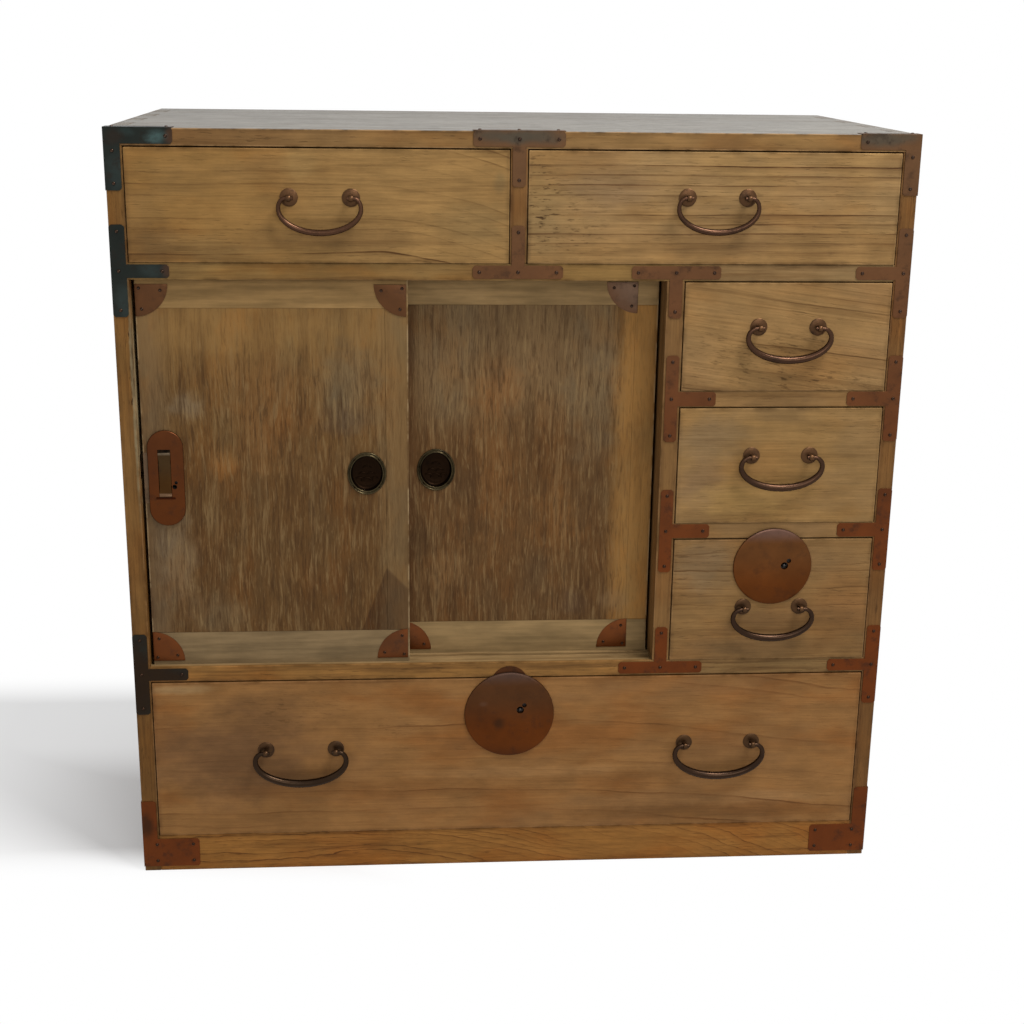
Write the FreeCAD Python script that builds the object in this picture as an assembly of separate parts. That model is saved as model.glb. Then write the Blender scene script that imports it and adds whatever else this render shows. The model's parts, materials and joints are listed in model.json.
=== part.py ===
import FreeCAD, Part
import math
import os

# Clothing chest with six drawers and a pair of sliding doors.
# All lengths are millimetres. X runs to the right, Y to the back and Z up.
# Pieces are drawn with the front plane of the carcass at y = 0.
# They are moved at the end, so that the origin lies under the middle of the whole chest.

# Carcass boards
chest_width = 900.0
chest_height = 893.0
chest_depth = 460.0
side_thickness = 19.0
top_thickness = 19.0
rail_thickness = 19.0
divider_thickness = 19.0
partition_thickness = 20.0
floor_thickness = 15.0
dust_thickness = 10.0
back_thickness = 10.0
back_rebate = 9.5
back_plank_count = 5
base_rail_height = 48.0
base_rail_depth = 22.0
door_rail_depth = 64.0
stack_rail_depth = 40.0
housing_depth = 4.0
housing_shoulder = 8.0
finger_count = 9

# How the openings share the clear height, from the bottom up, and the width of the stack of small drawers
opening_shares = (202, 154, 141, 127, 126)
stack_width = 241.0

# Drawer joinery and running gaps
drawer_proud = 1.2
drawer_side_gap = 1.0
drawer_top_gap = 1.5
drawer_floor_gap = 0.3
drawer_back_gap = 2.0
front_thickness = 18.0
front_lip = 8.0
drawer_side_thickness = 10.0
drawer_back_thickness = 10.0
drawer_bottom_thickness = 6.0

# Heights of the handle pivots above the floor of each opening, and how far they stand to the right of its middle
top_pivot_rises = (72.0, 74.5)
high_pivot_rise = 75.0
middle_pivot_rise = 83.0
low_pivot_rise = 68.0
bottom_pivot_rise = 112.2
bottom_handle_offset = 255.5
top_handle_shifts = (1.0, 2.6)
stack_handle_shift = 1.5

# Bail handles, with the split pins and washers that hold them
pivot_standoff = 11.0
top_bail_spacing = 68.0
top_bail_width = 95.0
top_bail_drop = 41.0
top_bail_rod = 7.2
top_bail_side_rod = 4.8
small_bail_spacing = 69.0
small_bail_width = 102.0
small_bail_drop = 41.0
small_bail_rod = 8.8
small_bail_side_rod = 5.8
large_bail_spacing = 84.0
large_bail_width = 115.0
large_bail_drop = 45.5
large_bail_rod = 9.6
large_bail_side_rod = 6.0
bail_end_rod = 4.4
bail_overhang = 2.5
bail_shoulder = 1.0
bail_shoulder_drop = 11.0
bail_shoulder_steps = 2
bail_curve_steps = 5
pivot_clearance = 0.08
eye_width = 5.0
eye_diameter = 9.6
eye_sides = 8
pin_width = 4.0
pin_leg_length = 9.0
washer_diameter = 20.0
washer_crown = 17.0
washer_thickness = 1.4
washer_sides = 12
rod_sides = 8

# Sliding doors, which overlap in the middle of the cupboard
door_overlap = 14.0
door_thickness = 20.0
door_inset = 10.0
door_spacing = 6.0
front_door_reveal = 3.5
rear_door_reveal = 3.0
sill_groove_depth = 4.0
head_groove_depth = 8.6
groove_clearance = 0.4
door_lift = 4.6
door_floor_gap = 0.3
door_bottom_rail = 43.7
door_top_rail = 37.0
door_stile = 26.5
panel_thickness = 12.0
panel_tongue = 5.0
panel_tongue_thickness = 4.0
panel_tongue_inset = 4.0

# Oval finger pulls let into the doors, each placed from the closing edge of its door and above the sill
pull_width = 45.0
pull_height = 51.0
pull_rim = 4.0
pull_rim_thickness = 1.4
pull_depth = 7.0
pull_wall = 0.9
pull_taper = 2.5
pull_clearance = 0.4
pull_sides = 28
front_pull_inset = 48.75
rear_pull_inset = 46.25
front_pull_rise = 234.0
rear_pull_rise = 231.0

# Quarter-round copper plates on the corners of the doors, with their left and right insets
# The rear door has none at the corner that the front door hides at the top.
plate_thickness = 0.8
door_plate_radius = 36.5
front_plate_count = 4
front_plate_insets = (0.3, 2.0)
rear_plate_count = 3
rear_plate_insets = (3.5, 24.5)
door_plate_foot = 8.0
door_plate_head = 10.0
door_nail_places = ((6.5, 45), (29.0, 14), (29.0, 76))
quarter_turn = 90

# Copper straps over the joints of the carcass, and their nails, with left and right lengths of the corner ones
strap_width = 17.0
tee_arm_width = 15.0
tee_bar_length = 102.0
side_tee_reach = 55.0
inner_tee_reach = 52.0
corner_arm_lengths = (73.5, 68.5)
corner_leg_length = 67.0
strap_wrap = 18.0
base_plate_lengths = (67.5, 70.5)
base_plate_foot = 6.0
base_plate_height = 37.0
base_leg_length = 51.0
strap_clip = 2.6
nail_head = 4.2
nail_height = 1.0
nail_inset = 7.5
nail_sides = 6

# Round drawer locks: a domed plate over a case let into the drawer front
bottom_lock_diameter = 109.0
bottom_lock_drop = 46.5
bottom_lock_shift = -3.0
bottom_key_offset = (13.0, 7.0)
small_lock_diameter = 95.0
small_lock_drop = 33.5
small_key_offset = (13.6, 2.0)
lock_rim_width = 5.0
lock_rim_height = 3.2
lock_rim_roll = 1.4
lock_hollow_height = 2.0
lock_crown_height = 5.6
lock_dome_shares = ((0.8, 0.5), (0.56, 1.0))
lock_sides = 36
key_hole = 6.4
key_hole_sides = 12
lock_case_width = 44.0
lock_case_depth = 11.0
lock_case_below = 16.0
key_hole_depth = 7.0
bolt_width = 16.0
bolt_thickness = 4.0
bolt_height = 30.0
bolt_inset = 4.0
bolt_travel = 8.0
bolt_clearance = 0.4
mortise_spare = 1.0
strike_radius = 22.5
strike_rise = 14.0

# Lock of the front door: a long plate, a rising latch bar and a hook bolt in a case
door_lock_width = 41.0
door_lock_height = 113.5
door_lock_thickness = 3.0
door_lock_inset = 25.5
door_lock_rise = 230.0
latch_bar_width = 14.0
latch_bar_height = 53.0
latch_bar_offset = (-1.4, 4.5)
latch_bar_stand = 1.6
latch_bar_travel = 3.0
latch_bar_gap = 0.3
latch_foot_width = 22.0
latch_foot_height = 2.4
latch_foot_stand = 1.0
door_key_offset = (9.6, -9.0)
door_case_width = 41.5
door_case_height = 60.0
door_case_depth = 10.0
hook_pivot_inset = 8.0
hook_pivot_offset = 2.0
hook_outer_radius = 19.0
hook_inner_radius = 13.5
hook_hub_radius = 5.0
hook_pin_radius = 1.6
hook_hub_sides = 8
hook_thickness = 4.0
hook_inset = 3.0
hook_start_angle = 30.0
hook_end_angle = 112.0
hook_arm_angle = 18.0
hook_clearance = 0.5
door_strike_thickness = 1.2
door_strike_width = 11.0
door_strike_margin = 8.0
door_slot_low = 4.1
door_slot_high = 17.5
door_mortise_depth = 11.5

# Levels and planes that follow from the sizes above
half_width = chest_width / 2
inner_half = half_width - side_thickness
top_level = chest_height - top_thickness
clear_height = top_level - base_rail_height - (len(opening_shares) - 1) * rail_thickness
bottom_opening, low_opening, middle_opening, high_opening, top_opening = [
    clear_height * share / sum(opening_shares) for share in opening_shares]
floor_underside = base_rail_height - floor_thickness
lower_rail_level = base_rail_height + bottom_opening
sill_level = lower_rail_level + rail_thickness
low_rail_level = sill_level + low_opening
middle_level = low_rail_level + rail_thickness
high_rail_level = middle_level + middle_opening
high_level = high_rail_level + rail_thickness
upper_rail_level = high_level + high_opening
shelf_level = top_level - top_opening
door_lock_level = sill_level + door_lock_rise
front_pull_level = sill_level + front_pull_rise
rear_pull_level = sill_level + rear_pull_rise
back_plane = chest_depth - back_thickness
partition_right = inner_half - stack_width
partition_left = partition_right - partition_thickness
divider_half = divider_thickness / 2
stack_middle = (partition_right + inner_half) / 2
door_width = (partition_left + inner_half - front_door_reveal - rear_door_reveal + door_overlap) / 2
front_door_left = front_door_reveal - inner_half
rear_door_left = partition_left - rear_door_reveal - door_width
rear_door_inset = door_inset + door_thickness + door_spacing
door_foot = sill_level - sill_groove_depth + door_floor_gap
door_head = upper_rail_level + head_groove_depth - door_lift
drawer_face = -drawer_proud
pivot_plane = drawer_face - pivot_standoff
thickest_rod = max(top_bail_rod, small_bail_rod, large_bail_rod, eye_diameter)
handle_reach = drawer_proud + pivot_standoff + thickest_rod / 2
front_plane = (handle_reach - chest_depth) / 2


def vector(x, y, z):
    return FreeCAD.Vector(x, y, z)


def block(x_low, x_high, y_low, y_high, z_low, z_high):
    """A squared board between two opposite corners."""
    corner = vector(x_low, y_low, z_low)
    return Part.makeBox(x_high - x_low, y_high - y_low, z_high - z_low, corner)


def thickened(outline, y_low, y_high):
    """A flat outline drawn on the front plane, given its depth."""
    solid = Part.Face(outline).extrude(vector(0, y_high - y_low, 0))
    solid.translate(vector(0, y_low, 0))
    return solid


def round_bar(centre_x, centre_z, radius, y_low, y_high):
    """A round bar or hole along Y."""
    return Part.makeCylinder(radius, y_high - y_low, vector(centre_x, y_low, centre_z), vector(0, 1, 0))


def polar(centre_x, centre_z, radius, degrees):
    """A point on the front plane at a distance and an angle from a centre."""
    turn = math.radians(degrees)
    return vector(centre_x + radius * math.cos(turn), 0, centre_z + radius * math.sin(turn))


def arc(centre_x, centre_z, radius, start, end):
    """An arc edge on the front plane between two angles."""
    angles = (start, (start + end) / 2, end)
    return Part.Arc(*[polar(centre_x, centre_z, radius, angle) for angle in angles]).toShape()


def chained(arcs):
    """A closed outline of arcs, with a straight line from the end of each to the next."""
    edges = []
    for near, following in zip(arcs, arcs[1:] + arcs[:1]):
        edges.append(near)
        edges.append(Part.makeLine(near.Vertexes[-1].Point, following.Vertexes[0].Point))
    return Part.Wire(edges)


def clipped(x_low, x_high, z_low, z_high, clip):
    """A rectangle on the front plane with its corners clipped off, as straps are cut with shears."""
    places = (
        (x_low + clip, z_low), (x_high - clip, z_low), (x_high, z_low + clip), (x_high, z_high - clip),
        (x_high - clip, z_high), (x_low + clip, z_high), (x_low, z_high - clip), (x_low, z_low + clip),
        (x_low + clip, z_low))
    return Part.makePolygon([vector(x, 0, z) for x, z in places])


def stadium(centre_x, centre_z, width, height):
    """An upright outline with half-round ends."""
    radius = width / 2
    rise = height / 2 - radius
    return chained([arc(centre_x, centre_z + rise, radius, 0, 180),
                    arc(centre_x, centre_z - rise, radius, 180, 360)])


def corners(centre, across, sides, out, start):
    """The corners of a regular polygon, given the direction it faces and that of its first corner."""
    spokes = [FreeCAD.Rotation(out, 360 * index / sides).multVec(start) for index in range(sides)]
    return [centre + spoke.multiply(across / 2) for spoke in spokes]


def polygon(centre, across, sides, out, start):
    """A regular polygon as a closed outline."""
    points = corners(centre, across, sides, out, start)
    return Part.makePolygon(points + points[:1])


def skinned(rings):
    """A solid with a skin of flat facets from each ring of corners to the next."""
    loops = [rings[0], rings[-1]]
    for near, far in zip(rings, rings[1:]):
        for index in range(len(near)):
            loops.append([near[index - 1], near[index], far[index]])
            loops.append([near[index - 1], far[index], far[index - 1]])
    solid = Part.Solid(Part.Shell([Part.Face(Part.makePolygon(loop + loop[:1])) for loop in loops]))
    if solid.Volume < 0:
        solid.reverse()
    return solid.removeSplitter()


def oval_ring(centre_x, y, centre_z, width, height, sides):
    """The corners of a many-sided upright oval at one depth."""
    points = []
    for index in range(sides):
        turn = 2 * math.pi * index / sides
        across = width / 2 * math.sin(turn)
        up = height / 2 * math.cos(turn)
        points.append(vector(centre_x + across, y, centre_z + up))
    return points


def raised(centre_x, base, centre_z, profile, sides):
    """A plate or dish in flat facets, from rings of width, height and rise towards the front."""
    return skinned([oval_ring(centre_x, base - rise, centre_z, width, height, sides)
                    for width, height, rise in profile])


def fused(solids):
    """Several touching solids as one."""
    whole = solids[0]
    for solid in solids[1:]:
        whole = whole.fuse(solid)
    return whole.removeSplitter()


def without(solid, tools):
    """A solid with each of the tools cut out of it."""
    for tool in tools:
        solid = solid.cut(tool)
    return solid


def housed_rail(x_low, x_high, y_high, z_low, z_high, left_housing, right_housing):
    """A rail from the front plane back, whose ends enter their neighbours behind a shoulder."""
    rail = block(x_low, x_high, 0, y_high, z_low, z_high)
    tongue = block(x_low - left_housing, x_high + right_housing, housing_shoulder, y_high, z_low, z_high)
    return fused([rail, tongue])


def door_groove(inset, z_low, z_high):
    """The channel in a rail that a sliding door of a given inset runs in."""
    y_low = inset - groove_clearance
    y_high = inset + door_thickness + groove_clearance
    return block(-inner_half, partition_left, y_low, y_high, z_low, z_high)


def bolt_mortise(centre_x, level):
    """The hole above a drawer lock that its bolt rises into."""
    half = bolt_width / 2 + bolt_clearance
    y_low = drawer_face + bolt_inset - bolt_clearance
    y_high = drawer_face + bolt_inset + bolt_thickness + bolt_clearance
    return block(centre_x - half, centre_x + half, y_low, y_high, level, level + bolt_travel + mortise_spare)


def lower_rail():
    """The rail under the doors, grooved as their sill and mortised for the bottom lock."""
    rail = housed_rail(-inner_half, inner_half, door_rail_depth, lower_rail_level, sill_level,
                       housing_depth, housing_depth)
    groove_floor = sill_level - sill_groove_depth
    grooves = [door_groove(inset, groove_floor, sill_level) for inset in (door_inset, rear_door_inset)]
    return without(rail, grooves + [bolt_mortise(bottom_lock_shift, lower_rail_level)])


def upper_rail():
    """The rail above the doors, with deeper grooves so that a lifted door comes out."""
    rail = housed_rail(-inner_half, inner_half, door_rail_depth, upper_rail_level, shelf_level,
                       housing_depth, housing_depth)
    groove_roof = upper_rail_level + head_groove_depth
    return without(rail, [door_groove(inset, upper_rail_level, groove_roof)
                          for inset in (door_inset, rear_door_inset)])


def stack_rails():
    """The two rails between the small drawers, the lower one mortised for the small lock."""
    rails = []
    for level in (low_rail_level, high_rail_level):
        rails.append(housed_rail(partition_right, inner_half, stack_rail_depth, level,
                                 level + rail_thickness, housing_depth, housing_depth))
    rails[0] = rails[0].cut(bolt_mortise(stack_middle, low_rail_level))
    return rails


def dust_boards():
    """Thin boards behind the rails, level with their tops, that the drawers run on."""
    wide = (-inner_half - housing_depth, door_rail_depth)
    stack = (partition_right - housing_depth, stack_rail_depth)
    boards = []
    places = ((wide, sill_level), (stack, middle_level), (stack, high_level), (wide, shelf_level))
    for (x_low, y_low), level in places:
        boards.append(block(x_low, inner_half + housing_depth, y_low, back_plane,
                            level - dust_thickness, level))
    return boards


def floor_board():
    """The board that the bottom drawer runs on."""
    return block(-inner_half - housing_depth, inner_half + housing_depth, base_rail_depth, back_plane,
                 floor_underside, base_rail_height)


def base_rail():
    """The deep rail along the foot of the chest."""
    return block(-inner_half, inner_half, 0, base_rail_depth, 0, base_rail_height)


def partition(neighbours):
    """The upright between the cupboard and the small drawers."""
    front = block(partition_left, partition_right, 0, back_plane, sill_level, upper_rail_level)
    heel = block(partition_left, partition_right, door_rail_depth, back_plane,
                 upper_rail_level, shelf_level - dust_thickness)
    return without(fused([front, heel]), neighbours)


def top_divider():
    """The upright between the two top drawers."""
    return block(-divider_half, divider_half, 0, back_plane, shelf_level, top_level)


def finger_slots(x_low, x_high, remainder):
    """Every other finger of the corner joint between the top and a side."""
    pitch = chest_depth / finger_count
    return [block(x_low, x_high, pitch * index, pitch * (index + 1), top_level, chest_height)
            for index in range(finger_count) if index % 2 == remainder]


def top_board():
    """The top, finger-jointed to both sides."""
    board = block(-half_width, half_width, 0, chest_depth, top_level, chest_height)
    left = finger_slots(-half_width, -inner_half, 1)
    right = finger_slots(inner_half, half_width, 1)
    return without(board, left + right)


def side_board(hand, neighbours):
    """A side, 1 on the right and -1 on the left, rebated for the back and housed for the rails."""
    x_low, x_high = sorted((hand * inner_half, hand * half_width))
    board = block(x_low, x_high, 0, chest_depth, 0, chest_height)
    rebate_low, rebate_high = sorted((hand * inner_half, hand * (inner_half + back_rebate)))
    rebate = block(rebate_low, rebate_high, back_plane, chest_depth, floor_underside, top_level)
    return without(board, finger_slots(x_low, x_high, 0) + [rebate] + neighbours)


def back_boards():
    """Level planks that close the back, edge to edge."""
    reach = inner_half + back_rebate
    plank = (top_level - floor_underside) / back_plank_count
    return [block(-reach, reach, back_plane, chest_depth,
                  floor_underside + plank * index, floor_underside + plank * (index + 1))
            for index in range(back_plank_count)]


def drawer_extent(opening):
    """The outside of a drawer: left, right, foot and head, from those of its opening."""
    x_low, x_high, z_low, z_high = opening
    left = x_low + drawer_side_gap
    right = x_high - drawer_side_gap
    return left, right, z_low + drawer_floor_gap, z_high - drawer_top_gap


def drawer_front(opening, eyes, lock_pocket):
    """A drawer front, rebated behind for the sides and the bottom, and bored for its handles."""
    left, right, foot, head = drawer_extent(opening)
    inner_face = drawer_face + front_thickness
    rebate_face = drawer_face + front_lip
    cuts = [
        block(left, left + drawer_side_thickness, rebate_face, inner_face, foot, head),
        block(right - drawer_side_thickness, right, rebate_face, inner_face, foot, head),
        block(left, right, rebate_face, inner_face, foot, foot + drawer_bottom_thickness),
    ]
    half = pin_width / 2
    for x, z in eyes:
        cuts.append(block(x - half, x + half, drawer_face, inner_face, z - half, z + half))
    return without(block(left, right, drawer_face, inner_face, foot, head), cuts + lock_pocket)


def drawer_box(opening):
    """The sides, back and bottom of a drawer."""
    left, right, foot, head = drawer_extent(opening)
    rebate_face = drawer_face + front_lip
    back = back_plane - drawer_back_gap
    floor = foot + drawer_bottom_thickness
    inner_left = left + drawer_side_thickness
    inner_right = right - drawer_side_thickness
    return [
        block(left, inner_left, rebate_face, back, floor, head),
        block(inner_right, right, rebate_face, back, floor, head),
        block(inner_left, inner_right, back - drawer_back_thickness, back, floor, head),
        block(left, right, rebate_face, back, foot, floor),
    ]


def handle_eye(x, z):
    """A washer on the drawer front, and the split pin through it whose eye holds the bail."""
    half = pin_width / 2
    inner_face = drawer_face + front_thickness
    rings = ((washer_diameter, washer_diameter, 0), (washer_crown, washer_crown, washer_thickness))
    washer = raised(x, drawer_face, z, rings, washer_sides)
    shank = block(x - half, x + half, pivot_plane, inner_face, z - half, z + half)
    legs = block(x - half, x + half, inner_face, inner_face + half, z - pin_leg_length, z + pin_leg_length)
    side = vector(1, 0, 0)
    ring_end = vector(x - eye_width / 2, pivot_plane, z)
    outline = polygon(ring_end, eye_diameter, eye_sides, side, vector(0, 0, 1))
    ring = Part.Face(outline).extrude(vector(eye_width, 0, 0))
    bore = Part.makeCylinder(bail_end_rod / 2 + pivot_clearance, eye_width, ring_end, side)
    return [washer.cut(shank), fused([ring, shank, legs]).cut(bore)]


def bail_stations(spacing, width, drop, rod, side_rod):
    """Half of a bail, from its end to the middle of the grip: x, z, turn and thickness at each section."""
    end = spacing / 2 - eye_width / 2 - bail_overhang
    shoulder = spacing / 2 + eye_width / 2 + bail_shoulder
    widest = width / 2 - side_rod / 2
    deepest = drop - bail_shoulder_drop - rod / 2
    stations = [(end, 0, 0, bail_end_rod)]
    for step in range(bail_shoulder_steps):
        turn = math.radians(90 * step / bail_shoulder_steps)
        across = widest - shoulder
        x = shoulder + across * math.sin(turn)
        z = bail_shoulder_drop * (math.cos(turn) - 1)
        slope = math.atan2(bail_shoulder_drop * math.sin(turn), across * math.cos(turn))
        swell = math.sin(turn) * (side_rod - bail_end_rod)
        stations.append((x, z, math.degrees(slope), bail_end_rod + swell))
    for step in range(bail_curve_steps + 1):
        turn = math.radians(90 * step / bail_curve_steps)
        x = widest * math.cos(turn)
        z = -bail_shoulder_drop - deepest * math.sin(turn)
        slope = math.atan2(deepest * math.cos(turn), -widest * math.sin(turn))
        swell = math.sin(turn) * (rod - side_rod)
        stations.append((x, z, math.degrees(slope), side_rod + swell))
    return stations


def bail(centre_x, pivot_z, size):
    """A forged bail: a tapering round rod bent down from its two ends to the grip."""
    half = bail_stations(*size)
    mirrored = [(-x, z, 360 - turn, thick) for x, z, turn, thick in reversed(half[:-1])]
    sections = []
    for x, z, turn, thick in half + mirrored:
        along = FreeCAD.Rotation(vector(0, 1, 0), turn).multVec(vector(1, 0, 0))
        centre = vector(centre_x + x, pivot_plane, pivot_z + z)
        sections.append(corners(centre, thick, rod_sides, along, vector(0, 1, 0)))
    return skinned(sections)


def lock_case_extent(centre_x, centre_z, head):
    """The space of a lock case in a drawer front, open at the top edge."""
    half = lock_case_width / 2
    return (centre_x - half, centre_x + half, drawer_face, drawer_face + lock_case_depth,
            centre_z - lock_case_below, head)


def key_hole_bore(centre_x, centre_z, key_offset, y_low, y_high):
    """The hole for the key beside the middle of a lock plate."""
    rings = ((key_hole, key_hole, 0), (key_hole, key_hole, y_high - y_low))
    return raised(centre_x + key_offset[0], y_high, centre_z + key_offset[1], rings, key_hole_sides)


def lock_plate(centre_x, centre_z, diameter, key_offset):
    """The domed disc of a drawer lock, raised in the middle and rolled at the rim."""
    inside = diameter - 2 * lock_rim_width
    crown = lock_crown_height - lock_hollow_height
    profile = [
        (diameter, 0),
        (diameter, lock_rim_height - lock_rim_roll),
        (diameter - 2 * lock_rim_roll, lock_rim_height),
        (inside + 2 * lock_rim_roll, lock_rim_height),
        (inside, lock_hollow_height),
    ]
    profile += [(inside * across, lock_hollow_height + crown * height) for across, height in lock_dome_shares]
    rings = [(across, across, rise) for across, rise in profile]
    plate = raised(centre_x, drawer_face, centre_z, rings, lock_sides)
    crown_plane = drawer_face - lock_crown_height
    return plate.cut(key_hole_bore(centre_x, centre_z, key_offset, crown_plane, drawer_face))


def bolt_solid(centre_x, head):
    """The flat bolt of a drawer lock, level with the top of the drawer when drawn."""
    half = bolt_width / 2
    y_low = drawer_face + bolt_inset
    return block(centre_x - half, centre_x + half, y_low, y_low + bolt_thickness, head - bolt_height, head)


def lock_case(centre_x, centre_z, head, key_offset):
    """The case behind a lock plate, with a channel for the bolt and a hole for the key."""
    half = bolt_width / 2 + bolt_clearance
    y_low = drawer_face + bolt_inset - bolt_clearance
    y_high = drawer_face + bolt_inset + bolt_thickness + bolt_clearance
    channel_foot = head - bolt_height - bolt_clearance
    channel = block(centre_x - half, centre_x + half, y_low, y_high, channel_foot, head)
    key_way = key_hole_bore(centre_x, centre_z, key_offset, drawer_face, drawer_face + key_hole_depth)
    return without(block(*lock_case_extent(centre_x, centre_z, head)), [channel, key_way])


def lock_strike():
    """The half-round tab on the lower rail behind the head of the bottom lock."""
    centre_z = lower_rail_level + strike_rise - strike_radius
    tab = round_bar(bottom_lock_shift, centre_z, strike_radius, -plate_thickness, 0)
    return tab.common(block(-strike_radius, strike_radius, -plate_thickness, 0,
                            lower_rail_level, lower_rail_level + strike_rise))


def door_panel_tongue(left, inset):
    """The thin edge of a door panel that enters the grooves of its frame."""
    y_low = inset + panel_tongue_inset
    return block(left + door_stile - panel_tongue, left + door_width - door_stile + panel_tongue,
                 y_low, y_low + panel_tongue_thickness,
                 door_foot + door_bottom_rail - panel_tongue, door_head - door_top_rail + panel_tongue)


def door_frame(left, inset, pockets):
    """The two rails and two stiles of a sliding door, the rails running through."""
    right = left + door_width
    y_low = inset
    y_high = inset + door_thickness
    foot = door_foot + door_bottom_rail
    head = door_head - door_top_rail
    members = [
        block(left, right, y_low, y_high, door_foot, foot),
        block(left, right, y_low, y_high, head, door_head),
        block(left, left + door_stile, y_low, y_high, foot, head),
        block(right - door_stile, right, y_low, y_high, foot, head),
    ]
    return [without(member, [door_panel_tongue(left, inset)] + pockets) for member in members]


def door_panel(left, inset, pockets):
    """The brushed panel of a sliding door, flush with the frame in front."""
    slab = block(left + door_stile, left + door_width - door_stile, inset, inset + panel_thickness,
                 door_foot + door_bottom_rail, door_head - door_top_rail)
    return without(fused([slab, door_panel_tongue(left, inset)]), pockets)


def pull_bowl(centre_x, centre_z, growth, mouth, floor, taper):
    """The oval hollow of a finger pull, grown all round, between two depths, narrower at the floor."""
    wide = pull_width + 2 * (growth - pull_rim)
    tall = pull_height + 2 * (growth - pull_rim)
    shrink = 1 - 2 * taper / wide
    rings = ((wide * shrink, tall * shrink, 0), (wide, tall, floor - mouth))
    return raised(centre_x, floor, centre_z, rings, pull_sides)


def finger_pull(centre_x, centre_z, inset):
    """An oval bronze dish whose rim lies on the panel and whose bowl sits in it."""
    rings = ((pull_width, pull_height, 0), (pull_width, pull_height, pull_rim_thickness))
    rim = raised(centre_x, inset, centre_z, rings, pull_sides)
    floor = inset + pull_depth
    shell = pull_bowl(centre_x, centre_z, pull_wall, inset, floor, pull_taper)
    hollow = pull_bowl(centre_x, centre_z, 0, inset - pull_rim_thickness, floor - pull_wall, pull_taper)
    return rim.fuse(shell).cut(hollow)


def pull_pocket(centre_x, centre_z, inset):
    """The oval hole in a panel that a finger pull sits in."""
    depth = pull_depth + pull_clearance
    return pull_bowl(centre_x, centre_z, pull_wall + pull_clearance, inset, inset + depth, 0)


def door_plates(left, inset, side_insets, count):
    """Quarter-round plates on the corners of a door from its foot up, and where their nails go."""
    plates = []
    nails = []
    left_x = left + side_insets[0]
    right_x = left + door_width - side_insets[1]
    foot = door_foot + door_plate_foot
    head = door_head - door_plate_head
    corners_round = ((left_x, foot), (right_x, foot), (right_x, head), (left_x, head))
    for turns, (x, z) in enumerate(corners_round[:count]):
        start = turns * quarter_turn
        edge = arc(x, z, door_plate_radius, start, start + quarter_turn)
        first, last = edge.Vertexes[0].Point, edge.Vertexes[-1].Point
        corner = vector(x, 0, z)
        outline = Part.Wire([edge, Part.makeLine(last, corner), Part.makeLine(corner, first)])
        plates.append(thickened(outline, inset - plate_thickness, inset))
        for radius, angle in door_nail_places:
            place = polar(x, z, radius, start + angle)
            nails.append(vector(place.x, inset - plate_thickness, place.z))
    return plates, nails


def door_lock_place():
    """The middle of the long lock plate on the front door."""
    return front_door_left + door_lock_inset, door_lock_level


def latch_bar_extent():
    """Left, right, foot and head of the rising latch bar when it is down."""
    x, z = door_lock_place()
    centre_x = x + latch_bar_offset[0]
    centre_z = z + latch_bar_offset[1]
    return (centre_x - latch_bar_width / 2, centre_x + latch_bar_width / 2,
            centre_z - latch_bar_height / 2, centre_z + latch_bar_height / 2)


def door_lock_plate():
    """The long copper plate with round ends, a window for the latch bar and a lip under it."""
    x, z = door_lock_place()
    face = door_inset - door_lock_thickness
    plate = thickened(stadium(x, z, door_lock_width, door_lock_height), face, door_inset)
    left, right, foot, head = latch_bar_extent()
    ledge = foot - latch_bar_gap
    middle = (left + right) / 2
    lip = block(middle - latch_foot_width / 2, middle + latch_foot_width / 2,
                face - latch_foot_stand, face, ledge - latch_foot_height, ledge)
    window = block(left - latch_bar_gap, right + latch_bar_gap, face - latch_foot_stand, door_inset,
                   ledge, head + latch_bar_travel + latch_bar_gap)
    return without(fused([plate, lip]), [window, key_hole_bore(x, z, door_key_offset, face, door_inset)])


def door_latch_bar():
    """The bar that rises in the window of the plate as the lock is worked."""
    left, right, foot, head = latch_bar_extent()
    outline = clipped(left, right, foot, head, strap_clip)
    return thickened(outline, door_inset - door_lock_thickness - latch_bar_stand, door_inset - latch_bar_gap)


def door_case_space():
    """The pocket for the lock case, open at the edge of the door."""
    z = door_lock_level
    return block(front_door_left, front_door_left + door_case_width, door_inset, door_inset + door_case_depth,
                 z - door_case_height / 2, z + door_case_height / 2)


def hook_pivot():
    """The axis of the hook bolt, near the edge of the front door."""
    return front_door_left + hook_pivot_inset, door_lock_level + hook_pivot_offset


def door_lock_case():
    """The case of the door lock, hollow for the swing of the hook, with its pin and key hole."""
    x, z = hook_pivot()
    plate_x, plate_z = door_lock_place()
    y_low = door_inset + hook_inset - hook_clearance
    y_high = door_inset + hook_inset + hook_thickness + hook_clearance
    swing = block(front_door_left, x + hook_outer_radius + hook_clearance, y_low, y_high,
                  z - hook_hub_radius - hook_clearance, z + hook_outer_radius + hook_clearance)
    pin = round_bar(x, z, hook_pin_radius, y_low, y_high)
    key_way = key_hole_bore(plate_x, plate_z, door_key_offset, door_inset, door_inset + key_hole_depth)
    return without(door_case_space(), [swing, key_way]).fuse(pin)


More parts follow.
